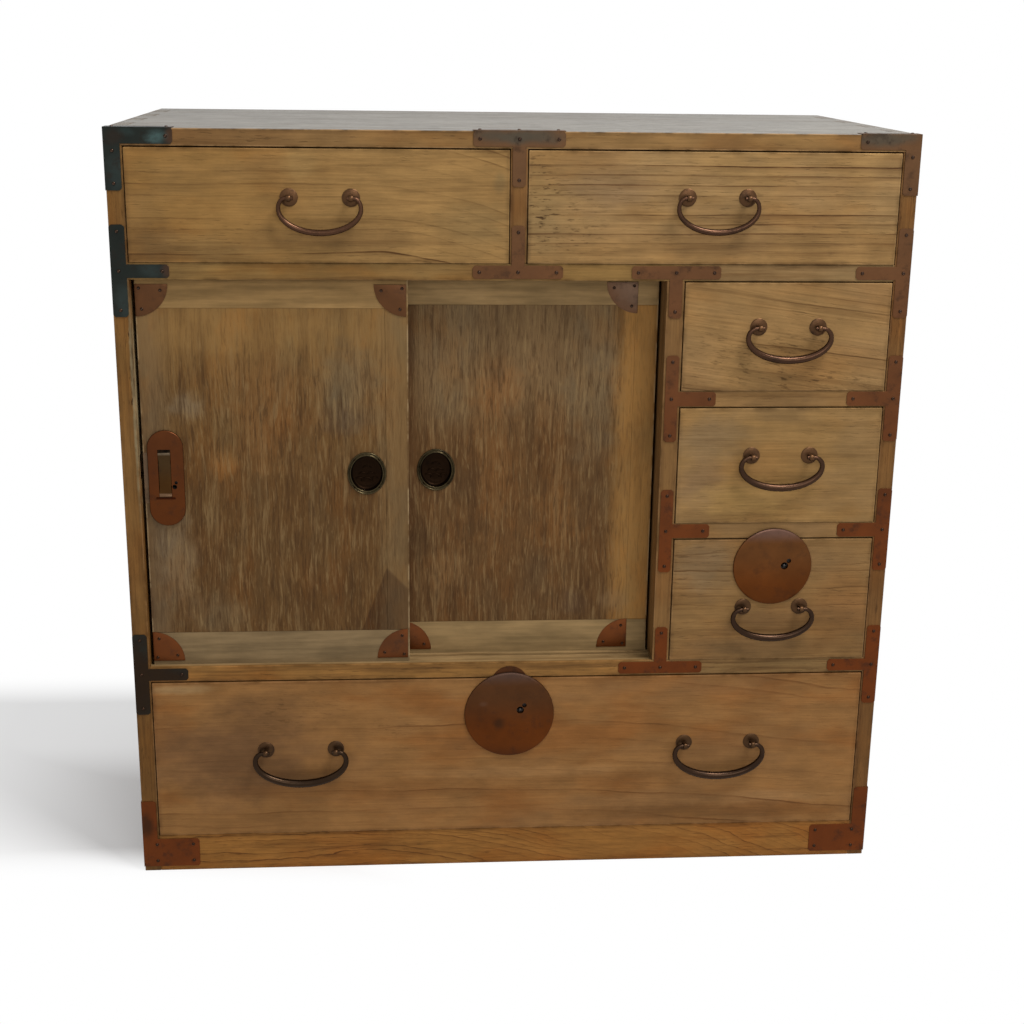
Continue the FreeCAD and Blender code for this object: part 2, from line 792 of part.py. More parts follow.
def door_hook():
    """A hook bolt: part of a ring that swings out of the door edge about its own centre."""
    x, z = hook_pivot()
    y_low = door_inset + hook_inset
    y_high = y_low + hook_thickness
    jaw = chained([arc(x, z, hook_outer_radius, hook_start_angle, hook_end_angle),
                   arc(x, z, hook_inner_radius, hook_end_angle, hook_start_angle)])
    arm_end = hook_start_angle + hook_arm_angle
    arm = chained([arc(x, z, hook_outer_radius, hook_start_angle, arm_end),
                   arc(x, z, hook_pin_radius, arm_end, hook_start_angle)])
    centre = vector(x, 0, z)
    hub = polygon(centre, 2 * hook_hub_radius, hook_hub_sides, vector(0, 1, 0), vector(0, 0, 1))
    bolt = fused([thickened(outline, y_low, y_high) for outline in (jaw, arm, hub)])
    return bolt.cut(round_bar(x, z, hook_pin_radius + pivot_clearance, y_low, y_high))


def door_strike():
    """The slotted plate let into the left side that the hook passes behind."""
    x, z = hook_pivot()
    middle = door_inset + hook_inset + hook_thickness / 2
    slot_half = hook_thickness / 2 + hook_clearance
    plate = block(-inner_half - door_strike_thickness, -inner_half,
                  middle - door_strike_width / 2, middle + door_strike_width / 2,
                  z + door_slot_low - door_strike_margin, z + door_slot_high + door_strike_margin)
    slot = block(-inner_half - door_strike_thickness, -inner_half, middle - slot_half, middle + slot_half,
                 z + door_slot_low, z + door_slot_high)
    return plate.cut(slot)


def door_strike_pocket():
    """The shallow pocket for the strike and the deeper hole for the end of the hook."""
    x, z = hook_pivot()
    middle = door_inset + hook_inset + hook_thickness / 2
    slot_half = hook_thickness / 2 + hook_clearance
    shallow = block(-inner_half - door_strike_thickness, -inner_half,
                    middle - door_strike_width / 2, middle + door_strike_width / 2,
                    z + door_slot_low - door_strike_margin, z + door_slot_high + door_strike_margin)
    deep = block(-inner_half - door_mortise_depth, -inner_half, middle - slot_half, middle + slot_half,
                 z - hook_hub_radius, z + door_slot_high + hook_clearance)
    return [shallow, deep]


def nail(place, out):
    """The small faceted head of a nail, standing on the face it holds down."""
    start = vector(0, 1, 0) if out.z else vector(0, 0, 1)
    crown = place + FreeCAD.Vector(out).multiply(nail_height)
    return Part.makeLoft([polygon(place, nail_head, nail_sides, out, start), Part.Vertex(crown)], True, True)


def tee_strap(centre_x, centre_z, turn, bar_width, stem_width, reach):
    """A T of sheet copper, its stem hanging down before it is turned, and where its nails go."""
    bar_half = tee_bar_length / 2
    bar = clipped(-bar_half, bar_half, -bar_width / 2, bar_width / 2, strap_clip)
    stem = clipped(-stem_width / 2, stem_width / 2, -reach, 0, strap_clip)
    strap = fused([thickened(outline, -plate_thickness, 0) for outline in (bar, stem)])
    upright = vector(0, 1, 0)
    strap.rotate(vector(0, 0, 0), upright, turn)
    centre = vector(centre_x, 0, centre_z)
    strap.translate(centre)
    nail_span = bar_half - nail_inset
    places = ((-nail_span, 0), (0, 0), (nail_span, 0), (0, nail_inset - reach))
    rotation = FreeCAD.Rotation(upright, turn)
    nails = [centre + rotation.multVec(vector(x, -plate_thickness, z)) for x, z in places]
    return strap, nails


def top_corner(arm_length):
    """The strap round the top left corner: over the front, the side and the top."""
    left = -half_width - plate_thickness
    head = chest_height + plate_thickness
    arm_end = arm_length - half_width
    leg_foot = chest_height - corner_leg_length
    arm = clipped(left, arm_end, chest_height - strap_width, head, strap_clip)
    leg = clipped(left, strap_width - half_width, leg_foot, head, strap_clip)
    over_side = block(left, -half_width, -plate_thickness, strap_wrap, leg_foot, head)
    over_top = block(left, arm_end, -plate_thickness, strap_wrap, chest_height, head)
    front = [thickened(outline, -plate_thickness, 0) for outline in (arm, leg)]
    return fused(front + [over_side, over_top])


def base_corner(plate_length):
    """The plate and leg round the bottom left corner, over the front and the side."""
    left = -half_width - plate_thickness
    head = base_plate_foot + base_plate_height
    plate = clipped(left, plate_length - half_width, base_plate_foot, head, strap_clip)
    leg = clipped(left, strap_width - half_width, base_plate_foot, head + base_leg_length, strap_clip)
    over_side = block(left, -half_width, -plate_thickness, strap_wrap,
                      base_plate_foot, head + base_leg_length)
    front = [thickened(outline, -plate_thickness, 0) for outline in (plate, leg)]
    return fused(front + [over_side])


def corner_nails(arm_length, plate_length):
    """Where the nails of the left corner straps go, with the direction that each faces."""
    front = -plate_thickness
    out = vector(0, -1, 0)
    arm_x = arm_length - nail_inset - half_width
    leg_x = strap_width / 2 - half_width
    arm_z = chest_height - strap_width / 2
    leg_z = chest_height - corner_leg_length + nail_inset
    wrap_y = strap_wrap - nail_inset
    plate_x = plate_length - nail_inset - half_width
    plate_low = base_plate_foot + nail_inset
    plate_high = base_plate_foot + base_plate_height - nail_inset
    base_leg_z = base_plate_foot + base_plate_height + base_leg_length - nail_inset
    places = [(vector(x, front, z), out) for x, z in (
        (arm_x, arm_z), (leg_x, chest_height - strap_width - nail_inset), (leg_x, leg_z),
        (plate_x, plate_low), (plate_x, plate_high), (leg_x + nail_inset, plate_low),
        (leg_x + nail_inset, plate_high))]
    up = vector(0, 0, 1)
    top = chest_height + plate_thickness
    places += [(vector(x, wrap_y, top), up) for x in (arm_x, nail_inset - half_width)]
    side = vector(-1, 0, 0)
    side_x = -half_width - plate_thickness
    places += [(vector(side_x, wrap_y, z), side) for z in (leg_z, arm_z, plate_low, base_leg_z)]
    return places


def mirrored(solid):
    """The right-hand copy of a left-hand piece."""
    return solid.mirror(vector(0, 0, 0), vector(1, 0, 0))


def top_tee_wrap():
    """The part of the middle top strap that turns back over the edge of the top."""
    half = tee_bar_length / 2
    return block(-half, half, -plate_thickness, strap_wrap, chest_height, chest_height + plate_thickness)


# Straps whose stem hangs down, points right, stands up or points left, by the turn in degrees
hanging, rightward, standing, leftward = 0, -90, 180, 90
lower_rail_middle = lower_rail_level + rail_thickness / 2
low_rail_middle = low_rail_level + rail_thickness / 2
high_rail_middle = high_rail_level + rail_thickness / 2
upper_rail_middle = upper_rail_level + rail_thickness / 2
side_middle = half_width - strap_width / 2
partition_middle = (partition_left + partition_right) / 2
wide_arm = (strap_width, inner_tee_reach)
slim_arm = (tee_arm_width, inner_tee_reach)
side_tees = [(-side_middle, level, rightward, strap_width, tee_arm_width, side_tee_reach)
             for level in (lower_rail_middle, upper_rail_middle)]
side_tees += [(side_middle, level, leftward, strap_width, stem_width, side_tee_reach)
              for level, stem_width in ((lower_rail_middle, tee_arm_width), (low_rail_middle, strap_width),
                                        (high_rail_middle, strap_width), (upper_rail_middle, tee_arm_width))]
divider_tees = [(0, chest_height - strap_width / 2, hanging, strap_width, *slim_arm),
                (0, upper_rail_middle, standing, tee_arm_width, *slim_arm)]
partition_tees = [(partition_middle, upper_rail_middle, hanging, tee_arm_width, *slim_arm),
                  (partition_middle, high_rail_middle, rightward, tee_arm_width, *wide_arm),
                  (partition_middle, low_rail_middle, rightward, tee_arm_width, *wide_arm),
                  (partition_middle, lower_rail_middle, standing, tee_arm_width, *slim_arm)]

# Openings of the drawers: left, right, foot and head
top_left_opening = (-inner_half, -divider_half, shelf_level, top_level)
top_right_opening = (divider_half, inner_half, shelf_level, top_level)
high_small_opening = (partition_right, inner_half, high_level, upper_rail_level)
middle_small_opening = (partition_right, inner_half, middle_level, high_rail_level)
low_small_opening = (partition_right, inner_half, sill_level, low_rail_level)
bottom_drawer_opening = (-inner_half, inner_half, base_rail_height, lower_rail_level)

# Each drawer: its opening, the middles of its handles, their pivot level and their bail
top_bail = (top_bail_spacing, top_bail_width, top_bail_drop, top_bail_rod, top_bail_side_rod)
small_bail = (small_bail_spacing, small_bail_width, small_bail_drop, small_bail_rod, small_bail_side_rod)
large_bail = (large_bail_spacing, large_bail_width, large_bail_drop, large_bail_rod, large_bail_side_rod)
top_handle_offset = (inner_half + divider_half) / 2
top_left_shift, top_right_shift = top_handle_shifts
top_left_handle = top_left_shift - top_handle_offset
top_right_handle = top_right_shift + top_handle_offset
stack_handle = stack_middle + stack_handle_shift
top_left_rise, top_right_rise = top_pivot_rises
drawers = {
    "top_left_drawer": (top_left_opening, {"top_left_bail": top_left_handle}, top_left_rise, top_bail),
    "top_right_drawer": (top_right_opening, {"top_right_bail": top_right_handle}, top_right_rise, top_bail),
    "upper_small_drawer": (high_small_opening, {"upper_small_bail": stack_handle},
                           high_pivot_rise, small_bail),
    "middle_small_drawer": (middle_small_opening, {"middle_small_bail": stack_handle},
                            middle_pivot_rise, small_bail),
    "lower_small_drawer": (low_small_opening, {"lower_small_bail": stack_handle}, low_pivot_rise, small_bail),
    "bottom_drawer": (bottom_drawer_opening,
                      {"bottom_left_bail": -bottom_handle_offset, "bottom_right_bail": bottom_handle_offset},
                      bottom_pivot_rise, large_bail),
}

# Locks of the drawers that have one: diameter, drop of its centre from the drawer's top, key and middle
drawer_locks = {
    "lower_small_drawer": (small_lock_diameter, small_lock_drop, small_key_offset, stack_middle),
    "bottom_drawer": (bottom_lock_diameter, bottom_lock_drop, bottom_key_offset, bottom_lock_shift),
}

nodes = {}

# Carcass
rails = stack_rails()
boards = dust_boards()
nodes["lower_rail"] = [lower_rail()]
nodes["upper_rail"] = [upper_rail()]
nodes["stack_rails"] = rails
nodes["dust_boards"] = boards
nodes["floor_board"] = [floor_board()]
nodes["base_rail"] = [base_rail()]
nodes["top_divider"] = [top_divider()]
nodes["partition"] = [partition(rails + boards[1:3])]
nodes["top_board"] = [top_board()]
housed = nodes["lower_rail"] + nodes["upper_rail"] + nodes["floor_board"] + rails + boards
nodes["left_side"] = [side_board(-1, housed + door_strike_pocket())]
nodes["right_side"] = [side_board(1, housed)]
nodes["back_boards"] = back_boards()

# Drawers with their handles and locks
for name, (opening, handles, rise, size) in drawers.items():
    left, right, foot, head = drawer_extent(opening)
    pivot_z = opening[2] + rise
    eyes = [(middle + hand * size[0] / 2, pivot_z) for middle in handles.values() for hand in (-1, 1)]
    pocket = []
    if name in drawer_locks:
        diameter, drop, key_offset, middle = drawer_locks[name]
        pocket = [block(*lock_case_extent(middle, head - drop, head))]
        nodes[name + "_lock_plate"] = [lock_plate(middle, head - drop, diameter, key_offset)]
        nodes[name + "_lock_case"] = [lock_case(middle, head - drop, head, key_offset)]
        nodes[name + "_bolt"] = [bolt_solid(middle, head)]
    nodes[name + "_front"] = [drawer_front(opening, eyes, pocket)]
    nodes[name + "_box"] = drawer_box(opening)
    nodes[name + "_eyes"] = [piece for x, z in eyes for piece in handle_eye(x, z)]
    for bail_name, middle in handles.items():
        nodes[bail_name] = [bail(middle, pivot_z, size)]

# Sliding doors: closing edges meet in the middle of the cupboard
front_pull_x = front_door_left + door_width - front_pull_inset
rear_pull_x = rear_door_left + rear_pull_inset
doors = {
    "front_door": (front_door_left, door_inset, front_pull_x, front_pull_level,
                   (front_plate_insets, front_plate_count), [door_case_space()]),
    "rear_door": (rear_door_left, rear_door_inset, rear_pull_x, rear_pull_level,
                  (rear_plate_insets, rear_plate_count), []),
}
for name, (left, inset, pull_x, pull_z, corner_plates, pockets) in doors.items():
    plates, places = door_plates(left, inset, *corner_plates)
    nodes[name + "_frame"] = door_frame(left, inset, pockets)
    nodes[name + "_panel"] = [door_panel(left, inset, pockets + [pull_pocket(pull_x, pull_z, inset)])]
    heads = [nail(place, vector(0, -1, 0)) for place in places]
    nodes[name + "_fittings"] = plates + [finger_pull(pull_x, pull_z, inset)] + heads
nodes["door_lock_plate"] = [door_lock_plate()]
nodes["door_lock_case"] = [door_lock_case()]
nodes["door_latch_bar"] = [door_latch_bar()]
nodes["door_hook"] = [door_hook()]
nodes["lock_strikes"] = [lock_strike(), door_strike()]

# Straps and nails of the carcass
strap_nails = []
for name, tees in (("side_tee_straps", side_tees), ("inner_tee_straps", divider_tees + partition_tees)):
    straps = [tee_strap(*tee) for tee in tees]
    nodes[name] = [strap for strap, places in straps]
    strap_nails += [nail(place, vector(0, -1, 0)) for strap, places in straps for place in places]
nodes["inner_tee_straps"][0] = fused([nodes["inner_tee_straps"][0], top_tee_wrap()])
tee_span = tee_bar_length / 2 - nail_inset
for x in (-tee_span, 0, tee_span):
    top_place = vector(x, strap_wrap - nail_inset, chest_height + plate_thickness)
    strap_nails.append(nail(top_place, vector(0, 0, 1)))
left_arm, right_arm = corner_arm_lengths
left_plate, right_plate = base_plate_lengths
nodes["top_corner_straps"] = [top_corner(left_arm), mirrored(top_corner(right_arm))]
nodes["base_corner_straps"] = [base_corner(left_plate), mirrored(base_corner(right_plate))]
left_heads = [nail(place, out) for place, out in corner_nails(left_arm, left_plate)]
right_heads = [mirrored(nail(place, out)) for place, out in corner_nails(right_arm, right_plate)]
nodes["strap_nails"] = strap_nails + left_heads + right_heads

os.makedirs("parts", exist_ok=True)
for name, pieces in nodes.items():
    shape = pieces[0] if len(pieces) == 1 else Part.makeCompound(pieces)
    shape = shape.copy()
    shape.translate(vector(0, front_plane, 0))
    shape.exportStep("parts/" + name + ".step")
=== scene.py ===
import json
from math import atan2, cos, pi, radians, sin, tau

import bmesh
import bpy
from mathutils import Matrix, Vector

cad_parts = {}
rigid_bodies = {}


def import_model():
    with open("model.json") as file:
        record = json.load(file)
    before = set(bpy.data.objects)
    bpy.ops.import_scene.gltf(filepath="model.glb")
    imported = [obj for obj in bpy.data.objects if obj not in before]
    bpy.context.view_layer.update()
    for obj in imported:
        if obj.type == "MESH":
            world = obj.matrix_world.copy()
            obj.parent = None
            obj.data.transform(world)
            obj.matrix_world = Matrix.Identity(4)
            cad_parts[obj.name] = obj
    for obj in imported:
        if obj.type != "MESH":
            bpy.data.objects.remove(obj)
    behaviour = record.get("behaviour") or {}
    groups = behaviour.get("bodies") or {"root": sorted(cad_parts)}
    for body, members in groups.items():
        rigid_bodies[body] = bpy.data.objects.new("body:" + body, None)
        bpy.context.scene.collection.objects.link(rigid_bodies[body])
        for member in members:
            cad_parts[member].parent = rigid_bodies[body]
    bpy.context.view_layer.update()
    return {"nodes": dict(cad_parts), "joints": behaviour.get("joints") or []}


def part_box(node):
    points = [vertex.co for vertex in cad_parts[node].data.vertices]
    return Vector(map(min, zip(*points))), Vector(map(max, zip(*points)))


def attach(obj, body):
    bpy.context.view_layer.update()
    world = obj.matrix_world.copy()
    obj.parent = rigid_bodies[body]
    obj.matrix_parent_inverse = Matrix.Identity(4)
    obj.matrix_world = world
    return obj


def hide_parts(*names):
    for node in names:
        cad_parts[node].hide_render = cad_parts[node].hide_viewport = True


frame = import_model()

nodes = frame["nodes"]


# Carcass
# The carcass is a box of paulownia boards: finger-jointed sides and top, and rails housed in the sides.
# The boards are oiled and golden brown with age, darker near their edges (partly dirt and partly painted shade), and
# worn at the edges.

def is_socket(value):
    return isinstance(value, bpy.types.NodeSocket)


def tree_of(*values):
    """The node tree that the sockets among some values belong to."""
    return next(value for value in values if is_socket(value)).id_data


def fill(node, values):
    """Fills a node's inputs with values or links."""
    for key, value in values.items():
        if is_socket(value):
            node.id_data.links.new(value, node.inputs[key])
        else:
            node.inputs[key].default_value = value


def wire(tree, kind, inputs=(), out=0, **settings):
    """Adds a shader node, fills its inputs, and returns one of its outputs."""
    made = tree.nodes.new(kind)
    for name, value in settings.items():
        setattr(made, name, value)
    fill(made, inputs if isinstance(inputs, dict) else dict(enumerate(inputs)))
    return made.outputs[out]


def math_node(operation, *values):
    return wire(tree_of(*values), "ShaderNodeMath", values, operation=operation)


def vector_node(operation, *values, out=0):
    return wire(tree_of(*values), "ShaderNodeVectorMath", values, out, operation=operation)


def joining(operation):
    """A function that joins values one after another by an operation."""
    def join(first, *others):
        for other in others:
            first = math_node(operation, first, other)
        return first
    return join


times, plus, minus = joining("MULTIPLY"), joining("ADD"), joining("SUBTRACT")
largest, smallest = joining("MAXIMUM"), joining("MINIMUM")


def apart(vector):
    return wire(tree_of(vector), "ShaderNodeSeparateXYZ", (vector,)).node.outputs


def remap(value, low, high, to_low=0, to_high=1, smooth=True):
    """Carries a value from one range to another, levelled off at both ends."""
    return wire(tree_of(value), "ShaderNodeMapRange", (value, low, high, to_low, to_high),
                interpolation_type="SMOOTHSTEP" if smooth else "LINEAR", clamp=True)


def blend(amount, first, second, mode="MIX"):
    """Mixes two colours by an amount."""
    first, second = (value if is_socket(value) else (*value, 1) for value in (first, second))
    return wire(tree_of(amount, first, second), "ShaderNodeMix", {0: amount, 6: first, 7: second}, 2,
                data_type="RGBA", blend_type=mode)


def shaded(colour, shade):
    """A colour made darker or lighter by a value."""
    grey = wire(tree_of(shade), "ShaderNodeCombineColor", (shade, shade, shade))
    return blend(1, colour, grey, "MULTIPLY")


def noise(place, scale, detail=2, roughness=0.5, distortion=0, out=0):
    """Noise stretched by a scale each way."""
    return wire(tree_of(place), "ShaderNodeTexNoise", {
        "Vector": vector_node("MULTIPLY", place, scale), "Scale": 1, "Detail": detail, "Roughness": roughness,
        "Distortion": distortion}, out)


def three_noises(*settings):
    """The red, green and blue of a coloured noise."""
    colour = noise(*settings, out=1)
    return wire(tree_of(colour), "ShaderNodeSeparateColor", (colour,)).node.outputs


def bumped(height, strength, distance):
    return wire(tree_of(height), "ShaderNodeBump", {"Strength": strength, "Distance": distance, "Height": height})


def make_group(name, vectors, values, parts):
    """A shader node group with named inputs, whose named outputs a function makes of them."""
    tree = bpy.data.node_groups.new(name, "ShaderNodeTree")
    for kind, labels in (("NodeSocketVector", vectors), ("NodeSocketFloat", values)):
        for label in labels:
            tree.interface.new_socket(name=label, in_out="INPUT", socket_type=kind)
    made = parts(tree.nodes.new("NodeGroupInput").outputs)
    for label in made:
        tree.interface.new_socket(name=label, in_out="OUTPUT", socket_type="NodeSocketFloat")
    fill(tree.nodes.new("NodeGroupOutput"), made)
    return tree


def placed(group, values):
    """Places a node group with its own values, and returns its outputs."""
    made = tree_of(*values.values()).nodes.new("ShaderNodeGroup")
    made.node_tree = group
    fill(made, values)
    return made.outputs


def wood_figure_parts(given):
    """Growth rings round a pith, cut by the face of a board, with streaks and open pores along the grain."""
    place, wander = given["Place"], given["Wander"]
    slow = three_noises(place, (3.5, 12, 12))
    sway_depth, sway_height = (times(minus(way, 0.5), wander) for way in slow[:2])
    tremble = times(minus(noise(place, (16, 50, 50), 3, 0.6), 0.5), times(wander, 0.2))
    x, y, z = apart(place)
    past = largest(minus(x, given["Bend Start"]), 0)
    bent = times(past, past, given["Bend"])
    depth = plus(plus(y, given["Pith Depth"]), plus(times(given["Taper"], x), sway_depth))
    height = plus(minus(z, given["Pith Height"]), plus(bent, plus(sway_height, tremble)))
    radius = math_node("SQRT", plus(times(depth, depth), times(height, height)))
    rings = math_node("DIVIDE", radius, given["Spacing"])
    within = math_node("FRACT", rings)
    strength = wire(tree_of(rings), "ShaderNodeTexWhiteNoise", {"W": math_node("FLOOR", rings)},
                    noise_dimensions="1D")
    edge = times(remap(within, 0.74, 0.92), remap(within, 1, 0.95))
    band = times(remap(within, 0.2, 0.9, smooth=False), remap(within, 1, 0.93))
    broken = noise(place, (10, 90, 90), 4, 0.7)
    shown = remap(noise(place, (3.5, 16, 16)), 0.36, 0.6, 0.3, 1)
    line = largest(times(edge, remap(broken, 0.32, 0.6, 0.35, 1)), times(band, 0.28))
    pores = remap(noise(place, (50, 520, 520), 2, 0.6), 0.6, 0.7)
    clouds = three_noises(place, (7, 17, 17), 3, 0.55)
    return {"Line": times(line, remap(strength, 0.25, 0.85, 0.18, 1, smooth=False), shown),
            "Fibre": noise(place, (14, 480, 480), 4, 0.7),
            "Pore": times(pores, remap(shown, 0.3, 1, 0.2, 0.8)),
            "Warm": remap(clouds[0], 0.44, 0.66),
            "Cool": remap(clouds[1], 0.46, 0.66),
            "Streak": noise(place, (4, 80, 80), 4, 0.7),
            "Mottle": noise(place, (20, 42, 42), 4, 0.62)}


def edge_reach_parts(given):
    """How far a point lies from the nearest edge between two faces of its board, in metres."""
    x, y, z = apart(vector_node("MINIMUM", vector_node("SUBTRACT", given["Place"], given["Low"]),
                                vector_node("SUBTRACT", given["High"], given["Place"])))
    return {"Reach": largest(smallest(x, y), smallest(largest(x, y), z))}


def smudge_parts(given):
    """A soft uneven spot on a face that looks along Y, round a centre with a reach each way."""
    place = given["Place"]
    offset = vector_node("SUBTRACT", place, given["Centre"])
    ragged = vector_node("SUBTRACT", noise(place, (30, 30, 45), 3, 0.6, out=1), (0.5, 0.5, 0.5))
    pushed = wire(tree_of(place), "ShaderNodeVectorMath", {0: ragged, "Scale": given["Ragged"]}, operation="SCALE")
    moved = vector_node("ADD", vector_node("DIVIDE", offset, given["Reach"]), pushed)
    length = vector_node("LENGTH", vector_node("MULTIPLY", moved, (1, 0, 1)), out=1)
    return {"Mask": remap(length, 1.15, 0.25)}


wood_figure = make_group("wood_figure", ("Place",), (
    "Pith Depth", "Pith Height", "Taper", "Spacing", "Wander", "Bend", "Bend Start"), wood_figure_parts)
edge_reach = make_group("edge_reach", ("Place", "Low", "High"), (), edge_reach_parts)
smudge = make_group("smudge", ("Place", "Centre", "Reach"), ("Ragged",), smudge_parts)


millimetre = 0.001
weld_reach = 0.00001
crease = 35


def soft_spot(place, spot, ragged):
    """The smudge of a spot: its centre across and up, and its reach across and up, in millimetres."""
    x, z, wide, high = (measure * millimetre for measure in spot)
    return placed(smudge, {"Place": place, "Centre": (x, 0, z), "Reach": (wide, 1, high), "Ragged": ragged})[0]


def tint_parts(colour, place, washes, spots, ragged=1.2):
    """Tints a colour. A wash is an axis, a start, an end, a strength and a colour.

    A spot is a centre and a reach in millimetres, a strength and a colour.
    """
    steps = dict(zip("xyz", apart(place)))
    for axis, start, end, strength, tint in washes:
        colour = blend(times(remap(steps[axis], start, end), strength), colour, tint)
    for *spot, strength, tint in spots:
        colour = blend(times(soft_spot(place, spot, ragged), strength), colour, tint)
    return colour


def start_material(name):
    """A new material, its shader, and the place on the object."""
    material = bpy.data.materials.new(name)
    material.use_nodes = True
    tree = material.node_tree
    return material, tree.nodes["Principled BSDF"], wire(tree, "ShaderNodeTexCoord", out="Object")


def dress(node, material, edge=0.0008):
    """Gives a CAD node its material, and softens its edges."""
    piece = nodes[node]
    piece.data.materials.clear()
    piece.data.materials.append(material)
    if edge:
        piece.modifiers.new("joined", "WELD").merge_threshold = weld_reach
        bevel = piece.modifiers.new("softened", "BEVEL")
        bevel.width = edge
        bevel.segments = 2
        bevel.limit_method = "ANGLE"
        bevel.angle_limit = radians(40)


grain_turns = {"x": (0, 0, 0), "y": (0, 0, -90), "z": (0, 90, 0)}
golden_dark = (0.085, 0.038, 0.011)


def board(node, light, dark=golden_dark, name=None, grain="x", pith=(0.05, -0.3), taper=0, tilt=0, bend=(0, 0),
          spacing=0.011, wander=0.02, line=0.5, streak=0.4, pore=0.45, clouds=(0.5, 0.5), worn=0.2,
          grime=0.6, rough=0.62, relief=1, spots=(), washes=(), dashes=()):
    """Dresses a board in aged paulownia: ring lines, streaks, pores, clouds, worn edges, and edges darkened by dirt and
    painted shade.

    Bend is how fast the lines fall, and from where. Clouds are how much warmer and cooler patches show. Dashes
    are spots of dark flecks, without a colour of their own.
    """
    name = name or node + "_wood"
    material, shader, place = start_material(name)
    low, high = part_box(node)
    seed = (sum(ord(letter) for letter in name) % 37) * 0.7
    turn = [radians(angle) for angle in grain_turns[grain]]
    turn[1] += radians(tilt)
    along = wire(material.node_tree, "ShaderNodeMapping", {
        "Vector": vector_node("SUBTRACT", place, (low + high) / 2), "Rotation": turn}, vector_type="POINT")
    drawn = vector_node("ADD", along, (seed, 0, 0))
    figure = placed(wood_figure, {
        "Place": drawn, "Pith Depth": pith[0] - taper * seed, "Pith Height": pith[1], "Taper": taper,
        "Spacing": spacing, "Wander": wander, "Bend": bend[0], "Bend Start": bend[1] + seed})
    reach = placed(edge_reach, {"Place": place, "Low": low, "High": high})[0]
    deepest = [value * 0.45 for value in dark]
    warmer = (light[0] * 0.92, light[1] * 0.76, light[2] * 0.6)
    cooler = (light[0] * 0.84, light[1] * 0.88, light[2] * 1.05)
    colour = blend(times(figure["Warm"], clouds[0]), light, warmer)
    colour = blend(times(figure["Cool"], clouds[1]), colour, cooler)
    colour = tint_parts(colour, place, washes, spots)
    colour = blend(times(remap(figure["Streak"], 0.5, 0.7), streak), colour, dark)
    colour = blend(times(figure["Line"], line), colour, dark)
    colour = blend(times(figure["Pore"], pore), colour, deepest)
    for *spot, strength in dashes:
        flecks = remap(noise(drawn, (60, 330, 330), 3, 0.65), 0.54, 0.66)
        colour = blend(times(soft_spot(place, spot, 0.8), flecks, strength), colour, deepest)
    fibre = remap(figure["Fibre"], 0.25, 0.75, 1 - 0.19 * relief, 1 + 0.16 * relief, smooth=False)
    colour = shaded(colour, times(fibre, remap(figure["Mottle"], 0.25, 0.75, 0.84, 1.15)))
    uneven = noise(place, (38, 38, 38), 3, 0.6)
    # Near its edges the board turns darker, as dirt and painted shade together; grime sets how strong.
    edge_dirt_and_shade = times(remap(reach, 0.006, 0), remap(uneven, 0.2, 0.85), grime)
    rubbed = times(remap(reach, 0.002, 0.0004), remap(uneven, 0.62, 0.4), worn)
    colour = blend(edge_dirt_and_shade, colour, deepest)
    colour = blend(rubbed, colour, [min(1, value * 1.5 + 0.03) for value in light])
    height = minus(times(figure["Fibre"], 0.6), plus(times(figure["Pore"], 0.9), times(figure["Line"], 0.4)))
    height = plus(height, times(figure["Streak"], 0.5))
    fill(shader, {"Base Color": colour, "Specular IOR Level": 0.09, "Normal": bumped(height, 0.5 * relief, 0.0006),
                  "Roughness": remap(figure["Fibre"], 0.2, 0.8, rough - 0.08, rough + 0.1, smooth=False)})
    dress(node, material)


side_dark = (0.06, 0.025, 0.007)
# The grey above the top's upper edge, on the top board and on the upper ends of the sides, is dust and a painted sheen
# together.
dust_and_sheen_grey = (0.231, 0.226, 0.206)
dust_and_sheen_top = ("z", 0.8922, 0.8928, 0.8, dust_and_sheen_grey)
side_looks = dict(dark=side_dark, grain="z", pith=(0.3, 0.2), spacing=0.007, line=0.6, worn=0.3, clouds=(0.9, 0.4))

board("left_side", (0.176, 0.086, 0.023), **side_looks,
      washes=(("z", 0.5, 0.1, 0.7, (0.115, 0.05, 0.012)), dust_and_sheen_top),
      spots=((-432.5, 600, 2.6, 160, 0.95, (0.3, 0.235, 0.125)),), dashes=((-434.5, 600, 2.2, 130, 1),))
board("right_side", (0.153, 0.072, 0.021), **side_looks, washes=(("z", 0.5, 0.1, 0.5, (0.12, 0.05, 0.013)), dust_and_sheen_top))
# Its top face takes the grey of dust and a painted sheen.
board("top_board", (0.215, 0.118, 0.04), name="top_wood", pith=(-0.2, 0.05), spacing=0.009,
      worn=0.7, rough=0.5, clouds=(0.8, 0.4), dashes=((0, 893, 500, 2, 0.5),),
      washes=(("x", -0.16, -0.44, 0.55, (0.165, 0.075, 0.026)), ("z", 0.8922, 0.8928, 0.92, dust_and_sheen_grey)))
board("base_rail", (0.24, 0.106, 0.024), (0.075, 0.026, 0.006), "base_wood", pith=(0.008, -0.03), taper=0.02,
      bend=(0.35, -0.28), spacing=0.0075, wander=0.06, line=1, streak=0.6, clouds=(0.9, 0.2))
# Behind its front face the rail's top, which is the sill under the doors, is painted paler as a painted highlight.
board("lower_rail", (0.228, 0.11, 0.029), pith=(0.05, 0.2), streak=0.6, clouds=(0.9, 0.4),
      washes=(("y", -0.2195, -0.217, 0.8, (0.26, 0.175, 0.08)), ("x", 0.1, 0.24, 0.7, (0.175, 0.112, 0.046))))
board("upper_rail", (0.205, 0.116, 0.035), pith=(0.05, 0.2), streak=0.6, clouds=(0.9, 0.5),
      washes=(("x", 0.17, 0.24, 0.6, (0.215, 0.14, 0.065)),))
board("stack_rails", (0.212, 0.117, 0.042), name="stack_rail_wood", pith=(0.05, 0.2), line=0.4, grime=0.3)
for upright in ("partition", "top_divider"):
    board(upright, (0.18, 0.092, 0.03), side_dark, grain="z", pith=(0.2, 0.1), clouds=(0.8, 0.4))


